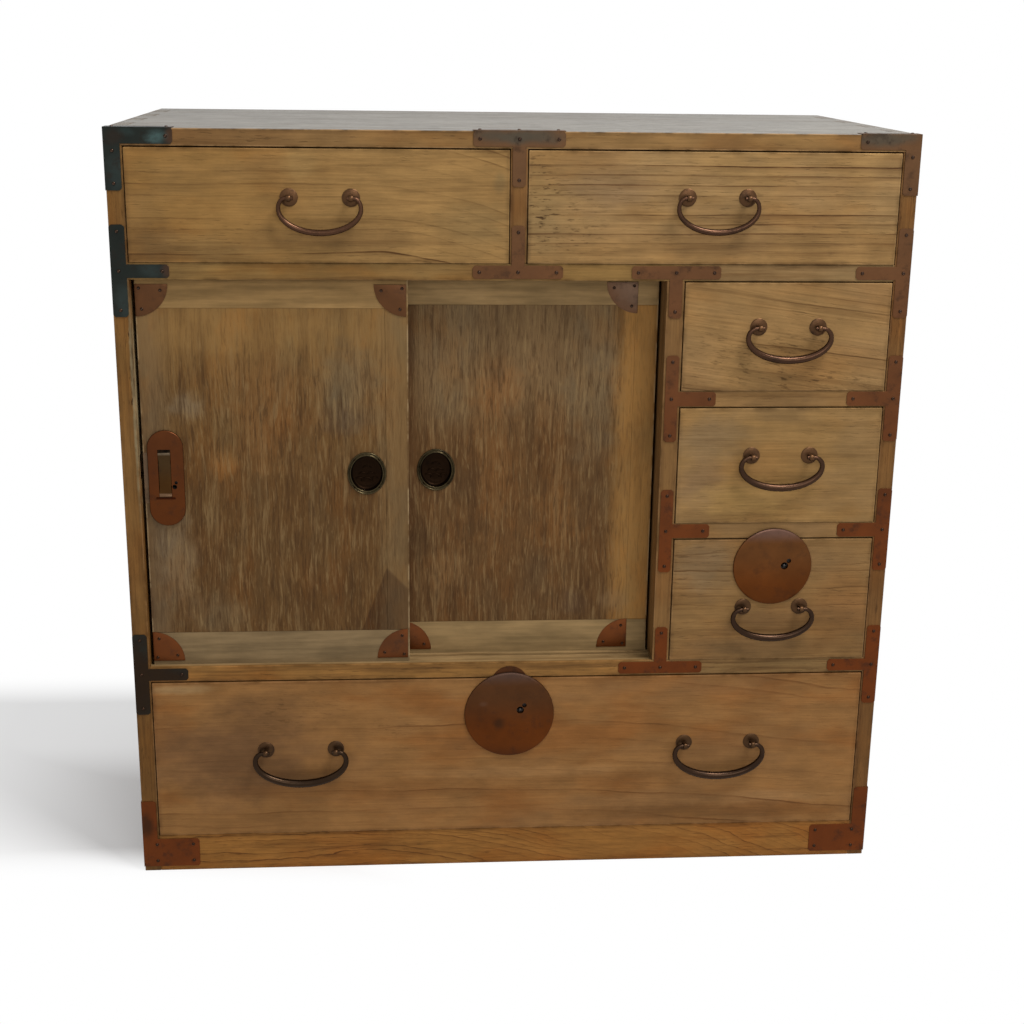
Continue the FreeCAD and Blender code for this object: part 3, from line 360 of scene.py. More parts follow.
# Inner boards
# The floor, the dust boards and the back planks are plain paulownia, left bare and pale brown.
# They sit in grooves in the sides and rails.
bare = (0.4, 0.28, 0.16)
bare_dark = (0.2, 0.12, 0.06)
for inner in ("dust_boards", "floor_board"):
    board(inner, bare, bare_dark, pith=(0.04, 0.05), wander=0.05, pore=0.3, grime=0.1, worn=0.1)
back_low, back_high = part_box("back_boards")
back_planks = 5
plank_height = (back_high.z - back_low.z) / back_planks / millimetre
plank_seams = [back_low.z / millimetre + plank_height * index for index in range(1, back_planks)]
plank_marks = [(0, seam - plank_height / 2, 2000, plank_height / 2, strength, (0.13, 0.078, 0.04))
               for seam, strength in zip(plank_seams, (0.6, 0, 0.45, 0.2))]
plank_marks += [(0, seam, 2000, 1.4, 0.9, (0.02, 0.012, 0.007)) for seam in plank_seams]
board("back_boards", (0.22, 0.145, 0.08), (0.09, 0.05, 0.027), "back_wood", pith=(0.03, 0.1), taper=0.04,
      spacing=0.01, wander=0.05, line=0.9, grime=0.4, spots=plank_marks)


# Straps
# Sheet copper straps hold the joints of the carcass, pinned with small domed nails.
# The copper is brown with age and green-black on the left; it is redder low down, and paler and pinker higher up, where
# a sheen is painted into its colour.

def patina_parts(given):
    """Old copper: cloudy tone, fine scratches, dark grime and a height for the bump."""
    place = given["Place"]
    scratch = largest(*(remap(noise(place, scale, 1), 0.66, 0.74)
                        for scale in ((40, 900, 900), (900, 900, 40))))
    fine = noise(place, (700, 700, 700))
    return {"Cloud": noise(place, (22, 22, 22), 4, 0.6),
            "Grime": remap(noise(place, (60, 60, 60), 5, 0.7), 0.5, 0.72),
            "Height": minus(plus(noise(place, (140, 140, 140)), times(fine, 0.25)), times(scratch, 0.3))}


patina = make_group("patina", ("Place",), (), patina_parts)


def old_metal(name, low_colour, high_colour=None, levels=(0.35, 0.85), grime_colour=(0.02, 0.012, 0.008),
              grime=0.5, rough=0.5, metal=0.9, bump=0.35, dark_side=None, washes=(), spots=()):
    """Aged copper or bronze whose colour may change with height, and may turn dark to the left."""
    material, shader, place = start_material(name)
    marks = placed(patina, {"Place": place})
    x, _, z = apart(place)
    colour = blend(remap(z, *levels), low_colour, high_colour or low_colour)
    if dark_side:
        start, end, tint = dark_side
        colour = blend(times(remap(x, start, end), remap(z, 0.13, 0.16)), colour, tint)
    colour = tint_parts(colour, place, washes, spots)
    colour = shaded(colour, remap(marks["Cloud"], 0.25, 0.75, 0.75, 1.25, smooth=False))
    colour = blend(times(marks["Grime"], grime), colour, grime_colour)
    roughness = plus(remap(marks["Cloud"], 0.2, 0.8, rough - 0.1, rough + 0.1), times(marks["Grime"], 0.15))
    fill(shader, {"Base Color": colour, "Roughness": roughness, "Metallic": metal,
                  "Normal": bumped(marks["Height"], bump, 0.0004)})
    return material


slate = (0.013, 0.016, 0.013)
slate_green = (0.03, 0.042, 0.038)
copper_brown = (0.062, 0.03, 0.016)
brown_black = (0.019, 0.009, 0.003)
verdigris = (0.055, 0.095, 0.09)
dull_green = (0.048, 0.046, 0.034)
# From low to high the colour turns from red to a paler brown; the higher colour holds a painted sheen.
strap_copper = old_metal(
    "strap_copper", (0.112, 0.026, 0.0035), (0.1, 0.048, 0.02), levels=(0.3, 0.92), metal=0.85,
    dark_side=(-0.36, -0.385, slate), spots=(
        (-437, 845, 14, 30, 0.55, slate_green), (-437, 705, 12, 25, 0.45, slate_green),
        (-405, 740, 18, 12, 0.6, slate_green), (-386, 740, 10, 14, 0.7, copper_brown),
        (-378, 884, 8, 12, 0.7, copper_brown), (-440, 883, 12, 10, 0.4, (0.03, 0.016, 0.01)),
        (-393, 884, 15, 9, 0.7, verdigris), (-425, 888, 10, 5, 0.15, verdigris),
        (0, 887, 60, 10, 0.75, dull_green), (410, 888, 50, 10, 0.7, dull_green),
        (-430, 255, 90, 70, 0.95, brown_black), (-444, 60, 10, 20, 0.7, brown_black)))
for node in ("side_tee_straps", "inner_tee_straps", "top_corner_straps", "base_corner_straps"):
    dress(node, strap_copper, edge=0.0003)
nail_radius = 0.0021
nail_profile = ((1, 0), (0.92, 0.25), (0.62, 0.48), (0.3, 0.36), (0, 0.26))
nail_sides = 12


def linked(name, data):
    """A new object of the scene."""
    made = bpy.data.objects.new(name, data)
    bpy.context.scene.collection.objects.link(made)
    return made


def as_object(shape, name):
    """Turns a bmesh into an object of the scene."""
    mesh = bpy.data.meshes.new(name)
    shape.to_mesh(mesh)
    shape.free()
    return linked(name, mesh)


def finish_piece(shape, name, material, body, stands_for=None, smooth=crease):
    """Turns a bmesh into a named piece with its material, on the body that it moves with."""
    bmesh.ops.recalc_face_normals(shape, faces=shape.faces)
    piece = as_object(shape, name)
    piece.data.materials.append(material)
    piece.data.shade_smooth()
    piece.data.set_sharp_from_angle(angle=radians(smooth))
    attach(piece, body)
    if stands_for:
        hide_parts(stands_for)
    return piece


def turned(shape, profile, centre, sides, unit=millimetre, axis=(0, -1, 0)):
    """Spins a profile of radius and rise about an axis into a round form standing at a centre."""
    upright = Vector((0, 0, 1)).rotation_difference(Vector(axis)).to_matrix().to_4x4()
    before = set(shape.verts)
    verts = [shape.verts.new((radius * unit, 0, rise * unit)) for radius, rise in profile]
    edges = [shape.edges.new(pair) for pair in zip(verts, verts[1:])]
    bmesh.ops.spin(shape, geom=verts + edges, cent=(0, 0, 0), axis=(0, 0, 1), steps=sides, angle=tau, use_merge=True)
    bmesh.ops.transform(shape, matrix=Matrix.Translation(centre) @ upright,
                        verts=[vert for vert in shape.verts if vert not in before])


def nail_places(node):
    """The foot and direction of each nail of a CAD node, from the ring and tip of its small cone."""
    copy = bmesh.new()
    copy.from_mesh(nodes[node].data)
    bmesh.ops.remove_doubles(copy, verts=copy.verts, dist=weld_reach)
    places = []
    for tip in copy.verts:
        ring = [edge.other_vert(tip).co for edge in tip.link_edges]
        reaches = [(point - tip.co).length for point in ring]
        if max(reaches) - min(reaches) < weld_reach:
            foot = sum(ring, Vector()) / len(ring)
            places.append((foot, (tip.co - foot).normalized()))
    copy.free()
    return places


nail_bronze = old_metal("nail_bronze", (0.03, 0.014, 0.007), (0.04, 0.022, 0.014), rough=0.3)
heads = bmesh.new()
for foot, out in nail_places("strap_nails"):
    turned(heads, nail_profile, foot, nail_sides, nail_radius, out)
finish_piece(heads, "strap_nail_heads", nail_bronze, "carcass", "strap_nails")


# Drawers
# Each front is one wide board with its own figure, proud of the rails by about a millimetre.
# The sides, back and bottom behind it are bare wood.
haze = (0.155, 0.112, 0.064)
violet_haze = (0.17, 0.108, 0.062)
olive = (0.15, 0.105, 0.045)
shadow_brown = (0.105, 0.055, 0.02)
drawer_looks = {
    "top_left_drawer": dict(
        light=(0.248, 0.134, 0.04), pith=(0.02, -0.3), bend=(1.15, 0.04), spacing=0.0125,
        wander=0.016, line=1.25, streak=0.35, pore=0.3, clouds=(0.6, 0.5),
        washes=(("x", -0.34, -0.16, 1, (0.276, 0.157, 0.053)),), spots=(
            (-410, 768, 42, 30, 0.6, shadow_brown), (-190, 775, 120, 20, 0.45, shadow_brown),
            (-22, 838, 9, 14, 0.5, olive), (-50, 790, 50, 30, 0.35, olive),
            (-350, 765, 80, 20, 0.35, olive), (-240, 855, 30, 20, 0.3, (0.42, 0.27, 0.1)))),
    "top_right_drawer": dict(
        light=(0.285, 0.168, 0.062), dark=(0.075, 0.03, 0.009), pith=(0.05, -0.35), spacing=0.0105,
        wander=0.008, line=1.35, streak=0.35, pore=0.35,
        washes=(("z", 0.8, 0.765, 0.35, (0.235, 0.125, 0.042)),), spots=(
            (20, 800, 40, 70, 0.35, olive), (100, 830, 70, 30, 0.4, violet_haze),
            (420, 860, 30, 20, 0.3, shadow_brown), (300, 770, 160, 20, 0.25, shadow_brown)),
        dashes=((20, 820, 35, 70, 0.9), (60, 790, 50, 50, 0.6))),
    "upper_small_drawer": dict(
        light=(0.268, 0.153, 0.056), pith=(0.05, -0.28), tilt=-8, spacing=0.0105,
        wander=0.012, line=0.95, pore=0.4, clouds=(0.5, 0.4),
        dashes=((280, 650, 120, 40, 0.6), (330, 615, 100, 20, 0.7))),
    "middle_small_drawer": dict(
        light=(0.244, 0.139, 0.048), pith=(0.08, 0.25), spacing=0.02, wander=0.03,
        line=0.2, streak=0.25, pore=0.25, clouds=(0.4, 0.6), spots=(
            (235, 545, 55, 35, 0.4, haze), (215, 495, 35, 40, 0.45, violet_haze),
            (270, 470, 70, 30, 0.35, (0.33, 0.2, 0.06)), (320, 475, 50, 30, 0.35, (0.34, 0.2, 0.065))),
        dashes=((278, 445, 8, 8, 0.9), (325, 445, 6, 6, 0.7))),
    "lower_small_drawer": dict(
        light=(0.208, 0.114, 0.04), pith=(0.04, 0.2), spacing=0.0105, wander=0.03,
        line=0.8, pore=0.5, clouds=(0.6, 0.5), spots=(
            (225, 385, 45, 45, 0.45, haze), (400, 350, 50, 50, 0.5, (0.215, 0.098, 0.03)),
            (330, 285, 120, 15, 0.4, shadow_brown), (400, 300, 50, 40, 0.3, shadow_brown))),
    "bottom_drawer": dict(
        light=(0.222, 0.107, 0.034), dark=(0.1, 0.038, 0.01), pith=(0.05, -0.33), spacing=0.0145, wander=0.035,
        bend=(0.12, -0.12), line=0.85, streak=0.15, pore=0.15, clouds=(0.9, 0.5), relief=0.7, spots=(
            (-330, 150, 130, 75, 0.85, (0.126, 0.062, 0.025)), (-300, 215, 90, 30, 0.45, (0.112, 0.056, 0.022)),
            (-120, 105, 300, 18, 0.35, (0.13, 0.054, 0.014)), (250, 65, 220, 14, 0.5, (0.115, 0.048, 0.012)),
            (120, 118, 120, 10, 0.4, (0.12, 0.052, 0.014)), (-405, 240, 50, 8, 0.7, (0.3, 0.185, 0.08)),
            (-280, 120, 90, 12, 0.3, (0.11, 0.056, 0.022)), (20, 125, 160, 10, 0.3, (0.3, 0.165, 0.066)),
            (320, 85, 120, 10, 0.3, (0.3, 0.17, 0.07))),
        dashes=((-270, 210, 100, 40, 0.35), (-140, 185, 60, 20, 0.3))),
}
for drawer, looks in drawer_looks.items():
    board(drawer + "_front", **looks)
    board(drawer + "_box", bare, bare_dark, grain="y", pith=(0.03, 0.1), line=0.4, pore=0.3, grime=0.15, worn=0.1)


# Handles
# Each bail is one forged bronze rod, thick at the grip and thin at its two ends.
# The ends turn in the eyes of split pins, which pass through a round washer and spread behind the front.
bail_end = 0.0044
bail_sides = 20
shoulder_steps = 8
sweep_steps = 20
small_bail = dict(spacing=0.069, width=0.102, drop=0.041, rod=0.0088, side_rod=0.0058)
bail_sizes = {
    "top": dict(spacing=0.068, width=0.095, drop=0.041, rod=0.0072, side_rod=0.0048),
    "upper": small_bail, "middle": small_bail, "lower": small_bail,
    "bottom": dict(spacing=0.084, width=0.115, drop=0.0455, rod=0.0096, side_rod=0.006)}
eye_width = 0.005
eye_play = 0.0001
eye_start = 55
eye_turn = 250
eye_steps = 18
end_overhang = 0.0025
end_round = 0.0004
end_share = 0.8
shoulder_gap = 0.001
shoulder_drop = 0.011
pin_strip = 0.0017
pin_legs = pin_strip * 0.6
pin_sides = 10
washer_profile = ((10, 0), (10, 0.5), (9.7, 0.8), (8.8, 1.15), (7.2, 1.5), (5, 1.8), (2.4, 1.95))
washer_sides = 40
face_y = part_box("top_left_drawer_front")[0].y
handle_bronze = old_metal(
    "handle_bronze", (0.027, 0.015, 0.008), (0.064, 0.03, 0.016), levels=(0.12, 0.8), rough=0.25, metal=0.95,
    bump=0.12, grime=0.6, washes=(("x", 0.1, 0.2, 0.35, (0.04, 0.02, 0.012)),))
washer_bronze = old_metal(
    "washer_bronze", (0.052, 0.025, 0.01), (0.076, 0.036, 0.015), levels=(0.1, 0.55), rough=0.36, bump=0.4,
    grime=0.7)


def ring_frame(centre, along, side, wide, thick):
    """Places a unit ring square to a direction, as wide and as thick as told."""
    turn = Matrix((side, along.cross(side), along)).transposed().to_4x4()
    return Matrix.Translation(centre) @ turn @ Matrix.Diagonal((wide / 2, thick / 2, 1, 1))


def swept(shape, frames, sides):
    """Carries a ring through a row of placing matrices, and closes it at both ends."""
    ring = bmesh.ops.create_circle(shape, cap_ends=True, segments=sides, radius=1, matrix=frames[0])["verts"]
    edges = list({edge for vert in ring for edge in vert.link_edges})
    for before, after in zip(frames, frames[1:]):
        grown = bmesh.ops.extrude_edge_only(shape, edges=edges)["geom"]
        verts = [item for item in grown if isinstance(item, bmesh.types.BMVert)]
        edges = [item for item in grown if isinstance(item, bmesh.types.BMEdge)
                 and item.verts[0] in verts and item.verts[1] in verts]
        bmesh.ops.transform(shape, matrix=after @ before.inverted(), verts=verts)
    bmesh.ops.contextual_create(shape, geom=edges)


def bail_frames(centre, spacing, width, drop, rod, side_rod):
    """The rings along a bail: out of the eye, round the shoulder, down to the grip and up again."""
    end = spacing / 2 - eye_width / 2 - end_overhang
    shoulder = spacing / 2 + eye_width / 2 + shoulder_gap
    widest = width / 2 - side_rod / 2
    deepest = drop - shoulder_drop - rod / 2
    across = widest - shoulder
    half = [(end, 0, 0, bail_end * end_share), (end + end_round, 0, 0, bail_end)]
    for step in range(shoulder_steps):
        turn = pi / 2 * step / shoulder_steps
        slope = atan2(-shoulder_drop * sin(turn), across * cos(turn))
        thick = bail_end + (side_rod - bail_end) * sin(turn)
        half.append((shoulder + across * sin(turn), shoulder_drop * (cos(turn) - 1), slope, thick))
    for step in range(sweep_steps + 1):
        turn = pi / 2 * step / sweep_steps
        slope = atan2(-deepest * cos(turn), -widest * sin(turn))
        thick = side_rod + (rod - side_rod) * sin(turn)
        half.append((widest * cos(turn), -shoulder_drop - deepest * sin(turn), slope, thick))
    other = [(-x, z, -slope, thick) for x, z, slope, thick in reversed(half[:-1])]
    return [ring_frame(centre + Vector((x, 0, z)), Vector((cos(slope), 0, sin(slope))),
                       Vector((0, 1, 0)), thick, thick) for x, z, slope, thick in half + other]


def split_pin(shape, centre):
    """A strip bent round the bail into an eye, whose two ends go back through the washer."""
    ring = bail_end / 2 + eye_play + pin_strip / 2
    turns = [radians(eye_start + eye_turn * step / eye_steps) for step in range(eye_steps + 1)]
    points = [Vector((0, ring * cos(turn), ring * sin(turn))) for turn in turns]
    back = face_y - centre.y
    points = [Vector((0, back, pin_legs)), *points, Vector((0, back, -pin_legs))]
    ways = [after - before for before, after in zip(points[:1] + points, points[1:] + points[-1:])]
    swept(shape, [ring_frame(centre + point, way.normalized(), Vector((1, 0, 0)), eye_width, pin_strip)
                  for point, way in zip(points, ways)], pin_sides)


for joint in frame["joints"]:
    bail, drawer = joint["child"], joint["parent"]
    if not bail.endswith("_bail"):
        continue
    measure = bail_sizes[drawer.split("_")[0]]
    centre = Vector(joint["pos_m"])
    rod = bmesh.new()
    swept(rod, bail_frames(centre, **measure), bail_sides)
    finish_piece(rod, bail + "_rod", handle_bronze, bail, bail)
    for hand, label in ((-1, "left"), (1, "right")):
        spot = centre + Vector((hand * measure["spacing"] / 2, 0, 0))
        washer = bmesh.new()
        turned(washer, washer_profile, Vector((spot.x, face_y, spot.z)), washer_sides)
        finish_piece(washer, f"{bail}_{label}_washer", washer_bronze, drawer, drawer + "_eyes")
        pin = bmesh.new()
        split_pin(pin, spot)
        finish_piece(pin, f"{bail}_{label}_pin", washer_bronze, drawer)


# Drawer locks
# Each lock plate is a shallow copper dome with a rolled rim, pinned over the lock case behind it.
# The key hole is ringed by a post for a hollow key, with a small hole above it.
iron = old_metal("lock_iron", (0.045, 0.04, 0.037), (0.05, 0.045, 0.04), metal=0.8, bump=0.5)
# Painted dome shading on the small disc: a pale painted sheen along its top and painted shade along its bottom.
small_copper = old_metal(
    "small_lock_copper", (0.098, 0.026, 0.003), (0.1, 0.036, 0.009), levels=(0.36, 0.41), rough=0.4,
    bump=0.15, grime=0.25,
    washes=(("z", 0.416, 0.432, 0.8, (0.12, 0.066, 0.05)), ("z", 0.352, 0.336, 0.6, (0.05, 0.014, 0.003))))
# Painted dome shading on the big disc: a pale painted sheen along its top and painted shade along its bottom.
big_copper = old_metal(
    "big_lock_copper", (0.09, 0.022, 0.002), (0.066, 0.024, 0.007), levels=(0.18, 0.23), rough=0.42,
    bump=0.2, grime=0.3,
    washes=(("z", 0.238, 0.256, 0.8, (0.068, 0.04, 0.03)), ("z", 0.165, 0.147, 0.6, (0.045, 0.013, 0.003))),
    spots=((-14, 190, 10, 9, 0.7, (0.03, 0.012, 0.004)), (-34, 217, 6, 4, 0.6, (0.09, 0.04, 0.02))))
plate_shares = ((1, 0), (1, 1.2), (0.992, 2), (0.975, 2.45), (0.945, 2.65), (0.9, 2.95), (0.8, 3.6),
                (0.68, 4.3), (0.5, 5), (0.3, 5.4), (0.12, 5.6), (0, 5.6))
plate_sides = 96
key_radius = 0.0045
post_profile = ((1.7, -4), (1.7, 4.2), (1.02, 4.8), (0, 5))
post_sides = 16
small_hole = 0.0028
small_hole_offset = Vector((0.005, 0, 0.006))
drill_depth = 0.03
drill_sides = 32


def cut_away(piece, tools):
    """Cuts tools out of a piece, and removes them."""
    for tool in tools:
        cut = piece.modifiers.new("cut", "BOOLEAN")
        cut.operation = "DIFFERENCE"
        cut.object = tool
        cut.solver = "EXACT"
    bpy.context.view_layer.update()
    seen = piece.evaluated_get(bpy.context.evaluated_depsgraph_get())
    fresh = bpy.data.meshes.new_from_object(seen)
    piece.modifiers.clear()
    piece.data = fresh
    for tool in tools:
        bpy.data.objects.remove(tool)
    piece.data.set_sharp_from_angle(angle=radians(crease))


def drill(centre, radius):
    """A round tool along Y for a hole."""
    shape = bmesh.new()
    bmesh.ops.create_cone(shape, cap_ends=True, segments=drill_sides, radius1=radius, radius2=radius,
                          depth=drill_depth, matrix=Matrix.Translation(centre) @ Matrix.Rotation(pi / 2, 4, "X"))
    return as_object(shape, "drill")


for drawer, copper, offset in (("lower_small_drawer", small_copper, (0.0136, 0, 0.002)),
                               ("bottom_drawer", big_copper, (0.013, 0, 0.007))):
    low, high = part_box(drawer + "_lock_plate")
    centre = Vector(((low.x + high.x) / 2, high.y, (low.z + high.z) / 2))
    radius = (high.x - low.x) / 2
    plate = bmesh.new()
    turned(plate, [(share * radius, rise * millimetre) for share, rise in plate_shares], centre, plate_sides, 1)
    bmesh.ops.holes_fill(plate, edges=plate.edges, sides=0)
    disc = finish_piece(plate, drawer + "_lock_disc", copper, drawer, drawer + "_lock_plate")
    key = centre + Vector(offset)
    cut_away(disc, [drill(key, key_radius), drill(key + small_hole_offset, small_hole)])
    post = bmesh.new()
    turned(post, post_profile, key, post_sides)
    finish_piece(post, drawer + "_key_post", iron, drawer)
    for part in ("_lock_case", "_bolt"):
        dress(drawer + part, iron, edge=0.0002)
dress("door_hook", iron, edge=0.0002)
dress("lock_strikes", old_metal("strike_copper", (0.06, 0.02, 0.006), rough=0.45, bump=0.2), edge=0.0002)


# Sliding doors
# Each door is a frame of rails and stiles round a panel of brushed wood, whose soft grain stands open.
# The front door runs on the left, and the rear one behind it on the right.
rail_foot = 0.309
rail_head = 0.696
stroke_brown = (0.05, 0.023, 0.008)
stroke_pale = (0.24, 0.155, 0.068)


def brushed_door(door, light, washes, spots, field, rails, wedge=None):
    """Dresses a door in short upright strokes of dark pores between dry pale ridges, and smooth level rails.

    Field is where the strokes begin and end across the door, and how strong they are at its head. Rails are
    the colours of the top rail and the bottom rail. A wedge is a stain with straight edges: slanted lines, a
    strength and a colour.
    """
    material, shader, place = start_material(door + "_wood")
    x, _, z = apart(place)
    sway = noise(place, (12, 1, 6), 3, out=1)
    drawn = vector_node("ADD", place, vector_node("MULTIPLY", sway, (0.014, 0, 0)))
    strokes = noise(drawn, (270, 1, 27), 3, 0.64, 0.35)
    thin = noise(drawn, (520, 1, 55), 2, 0.6, 0.3)
    ridges = noise(drawn, (90, 1, 5), 4, 0.65)
    clouds = three_noises(drawn, (22, 1, 10), 4, 0.62)
    colour = tint_parts(light, place, washes, spots, 1.3)
    for cloud, tint in zip(clouds, ((1.16, 0.98, 0.78), (0.84, 0.94, 1.1), (0.74, 0.7, 0.68))):
        colour = blend(times(remap(cloud, 0.48, 0.66), 0.6), colour, blend(1, colour, tint, "MULTIPLY"))
    inside = times(remap(plus(x, times(clouds[1], 0.03)), field[0] - 0.02, field[0] + 0.04),
                   remap(plus(x, times(clouds[0], -0.03)), field[1] + 0.015, field[1] - 0.04))
    brushed = times(remap(inside, 0, 1, 0.38, 1), remap(z, rail_head, rail_head - 0.12, field[2], 1))
    for value, low, high, strength, tint in (
            (ridges, 0.52, 0.68, 0.5, stroke_brown), (ridges, 0.46, 0.34, 0.25, stroke_pale),
            (strokes, 0.46, 0.34, 0.56, stroke_brown), (strokes, 0.54, 0.66, 0.36, stroke_pale),
            (thin, 0.54, 0.66, 0.42, stroke_brown), (thin, 0.44, 0.34, 0.22, stroke_pale)):
        colour = blend(times(remap(value, low, high), brushed, strength), colour, tint)
    if wedge:
        lines, stained, tint = wedge
        for across, rise, start in lines:
            slant = plus(times(x, across), plus(times(z, rise), times(clouds[2], 0.004)))
            stained = times(stained, remap(slant, start, start + 0.006))
        colour = blend(stained, colour, blend(1, colour, tint, "MULTIPLY"))
    head_rail = math_node("GREATER_THAN", z, rail_head)
    rail = largest(head_rail, math_node("LESS_THAN", z, rail_foot))
    lines = noise(place, (9, 1, 150), 4, 0.65)
    blots = noise(place, (16, 1, 40), 3, 0.6)
    level = shaded(blend(head_rail, rails[1], rails[0]),
                   times(remap(lines, 0.3, 0.7, 0.8, 1.15), remap(blots, 0.3, 0.7, 0.84, 1.12)))
    colour = blend(rail, colour, level)
    low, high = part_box(door + "_frame")
    reach = placed(edge_reach, {"Place": place, "Low": low, "High": high})[0]
    gap = smallest(*(math_node("ABSOLUTE", minus(z, height)) for height in (rail_foot, rail_head)))
    uneven = noise(place, (40, 40, 40), 3, 0.6)
    # The frame's edges and the joints of its rails turn darker, as dirt and painted shade together.
    edge_dirt_and_shade = largest(times(remap(reach, 0.0035, 0), remap(uneven, 0.3, 0.7)), times(remap(gap, 0.0009, 0.0002), 0.6))
    rubbed = times(remap(reach, 0.0022, 0.0008), remap(uneven, 0.6, 0.42))
    colour = blend(times(edge_dirt_and_shade, 0.45), colour, stroke_brown)
    colour = blend(times(rubbed, 0.55), colour, (0.33, 0.23, 0.12))
    height = times(plus(times(strokes, 1.2), times(thin, 0.6)), brushed, minus(1, rail))
    fill(shader, {"Base Color": colour, "Roughness": remap(strokes, 0.3, 0.7, 0.62, 0.85),
                  "Specular IOR Level": 0.08, "Normal": bumped(height, 0.8, 0.001)})
    dress(door + "_frame", material)
    dress(door + "_panel", material, edge=0)


warm_brown = (0.165, 0.075, 0.023)
grey_brown = (0.135, 0.096, 0.05)
# Black painted shade, for the slot above the latch bar and for the key hole.
stain = (0.075, 0.044, 0.025)
painted_shade_black = (0.004, 0.003, 0.002)
# The front door is painted black under the slot above the latch bar, as painted shade.
brushed_door(
    "front_door", (0.19, 0.104, 0.034), (
        ("z", 0.68, 0.57, 1, (0.132, 0.068, 0.022)), ("z", 0.57, 0.48, 1, (0.102, 0.05, 0.016)),
        ("x", -0.385, -0.415, 0.4, (0.16, 0.106, 0.056)), ("x", -0.165, -0.145, 0.5, (0.18, 0.108, 0.044))),
    ((-320, 672, 110, 35, 0.6, (0.235, 0.13, 0.042)), (-280, 580, 60, 90, 0.55, warm_brown),
     (-335, 515, 22, 22, 0.55, (0.225, 0.105, 0.03)), (-190, 610, 45, 60, 0.6, grey_brown),
     (-200, 565, 30, 22, 0.45, stain), (-375, 585, 22, 20, 0.5, (0.185, 0.14, 0.085)),
     (-395, 400, 30, 75, 0.55, (0.19, 0.13, 0.07)), (-345, 375, 16, 55, 0.6, (0.085, 0.042, 0.015)),
     (-237, 385, 9, 55, 0.6, (0.08, 0.038, 0.013)), (-210, 360, 12, 40, 0.5, (0.09, 0.042, 0.014)),
     (-355, 330, 50, 30, 0.4, grey_brown), (-403.4, 531.5, 12, 6, 1, painted_shade_black)),
    field=(-0.4, -0.15, 0.35), rails=((0.238, 0.142, 0.054), (0.18, 0.12, 0.058)),
    wedge=(((-1.04, -1, -0.232), (2.6, -1, -0.778)), 0.9, (0.6, 0.56, 0.58)))
# Along its left edge, next to the front door, the rear door is darker, as a stain together with the front door's
# painted shadow.
brushed_door(
    "rear_door", (0.155, 0.092, 0.04), (
        ("z", 0.62, 0.52, 1, (0.1, 0.049, 0.017)), ("x", 0.108, 0.136, 1, (0.27, 0.135, 0.038)),
        ("x", -0.108, -0.122, 0.85, (0.085, 0.038, 0.013))),
    ((-15, 600, 30, 40, 0.6, (0.2, 0.095, 0.032)), (90, 590, 40, 100, 0.55, grey_brown),
     (-75, 590, 30, 50, 0.45, grey_brown), (-20, 500, 40, 120, 0.5, warm_brown),
     (50, 440, 35, 60, 0.5, (0.165, 0.072, 0.02)), (-80, 375, 30, 35, 0.5, (0.185, 0.098, 0.036)),
     (30, 370, 20, 40, 0.45, (0.09, 0.055, 0.026)), (75, 330, 25, 20, 0.5, stain),
     (125, 335, 20, 20, 0.4, (0.2, 0.125, 0.06))),
    field=(-0.12, 0.125, 0.85), rails=((0.27, 0.17, 0.072), (0.235, 0.152, 0.066)))
# The lock case is painted black in the key hole and in the slot above the bar, as painted shade.
dress("door_lock_case", old_metal(
    "case_brown", (0.13, 0.072, 0.03), rough=0.7, metal=0.1, bump=0.3,
    spots=((-392, 491, 10, 14, 1, painted_shade_black), (-403.4, 532, 12, 5, 1, painted_shade_black))), edge=0)


# Door fittings
# Quarter-round copper plates hold the corners of the doors, each with three nails.
# The finger pulls are cast bronze dishes with a beaded rim, let into the stiles.
corner_radius = 0.0365
corner_thickness = 0.0008
corner_sides = 96
corner_nails = ((0.0065, 45), (0.029, 14), (0.029, 76))
corner_nail_radius = nail_radius * 0.9
pull_bronze = old_metal(
    "pull_bronze", (0.009, 0.0035, 0.0008), rough=0.42, metal=0.95, bump=0.6, grime_colour=(0.004, 0.002, 0.001))
bead_bronze = old_metal(
    "bead_bronze", (0.05, 0.037, 0.017), rough=0.22, metal=0.95, bump=0.6, grime=0.9, grime_colour=(0.01, 0.006, 0.003))
plate_copper = old_metal(
    "plate_copper", (0.11, 0.029, 0.004), (0.098, 0.038, 0.012), levels=(0.3, 0.7), rough=0.45, metal=0.8, bump=0.25,
    grime=0.4, spots=((135, 715, 40, 30, 0.8, (0.135, 0.08, 0.05)), (-140, 290, 30, 20, 0.5, (0.07, 0.028, 0.01))))
dish_profile = ((19.2, 0), (18.6, 0.5), (18.3, 0.2), (18, -2.2), (17.2, -5), (15.8, -5.9), (14.6, -5.4),
                (13.6, -5.9), (9, -5.6), (4, -5.2), (0, -5.1))
rim_profile = ((22.5, 0), (22.5, 0.5), (22.3, 1), (21.9, 1.35), (21.4, 1.3), (21, 0.8), (20.6, 0.2),
               (20.2, 0.2), (19.8, 0.8), (19.4, 1.3), (18.9, 1.35), (18.5, 1), (18.4, 0.3), (19, 0), (22.5, 0))
pull_stretch = 51 / 45
pull_sides = 72
relief_arcs = ((0, -0.014, 0.0075, 25, 130), (-0.009, -0.012, 0.006, 20, 110),
               (0.009, -0.012, 0.006, 50, 110), (-0.005, -0.0055, 0.0055, 25, 120),
               (0.005, -0.0055, 0.0055, 35, 120), (0, 0.002, 0.006, 30, 120))
relief_depth = 0.0052
arc_steps = 14
arc_width = 0.0018
arc_sides = 8
stud_ring = 0.0204
stud_depth = 0.0006
stud_radius = 0.0016
plate_foot = 0.2733
plate_head = 0.723
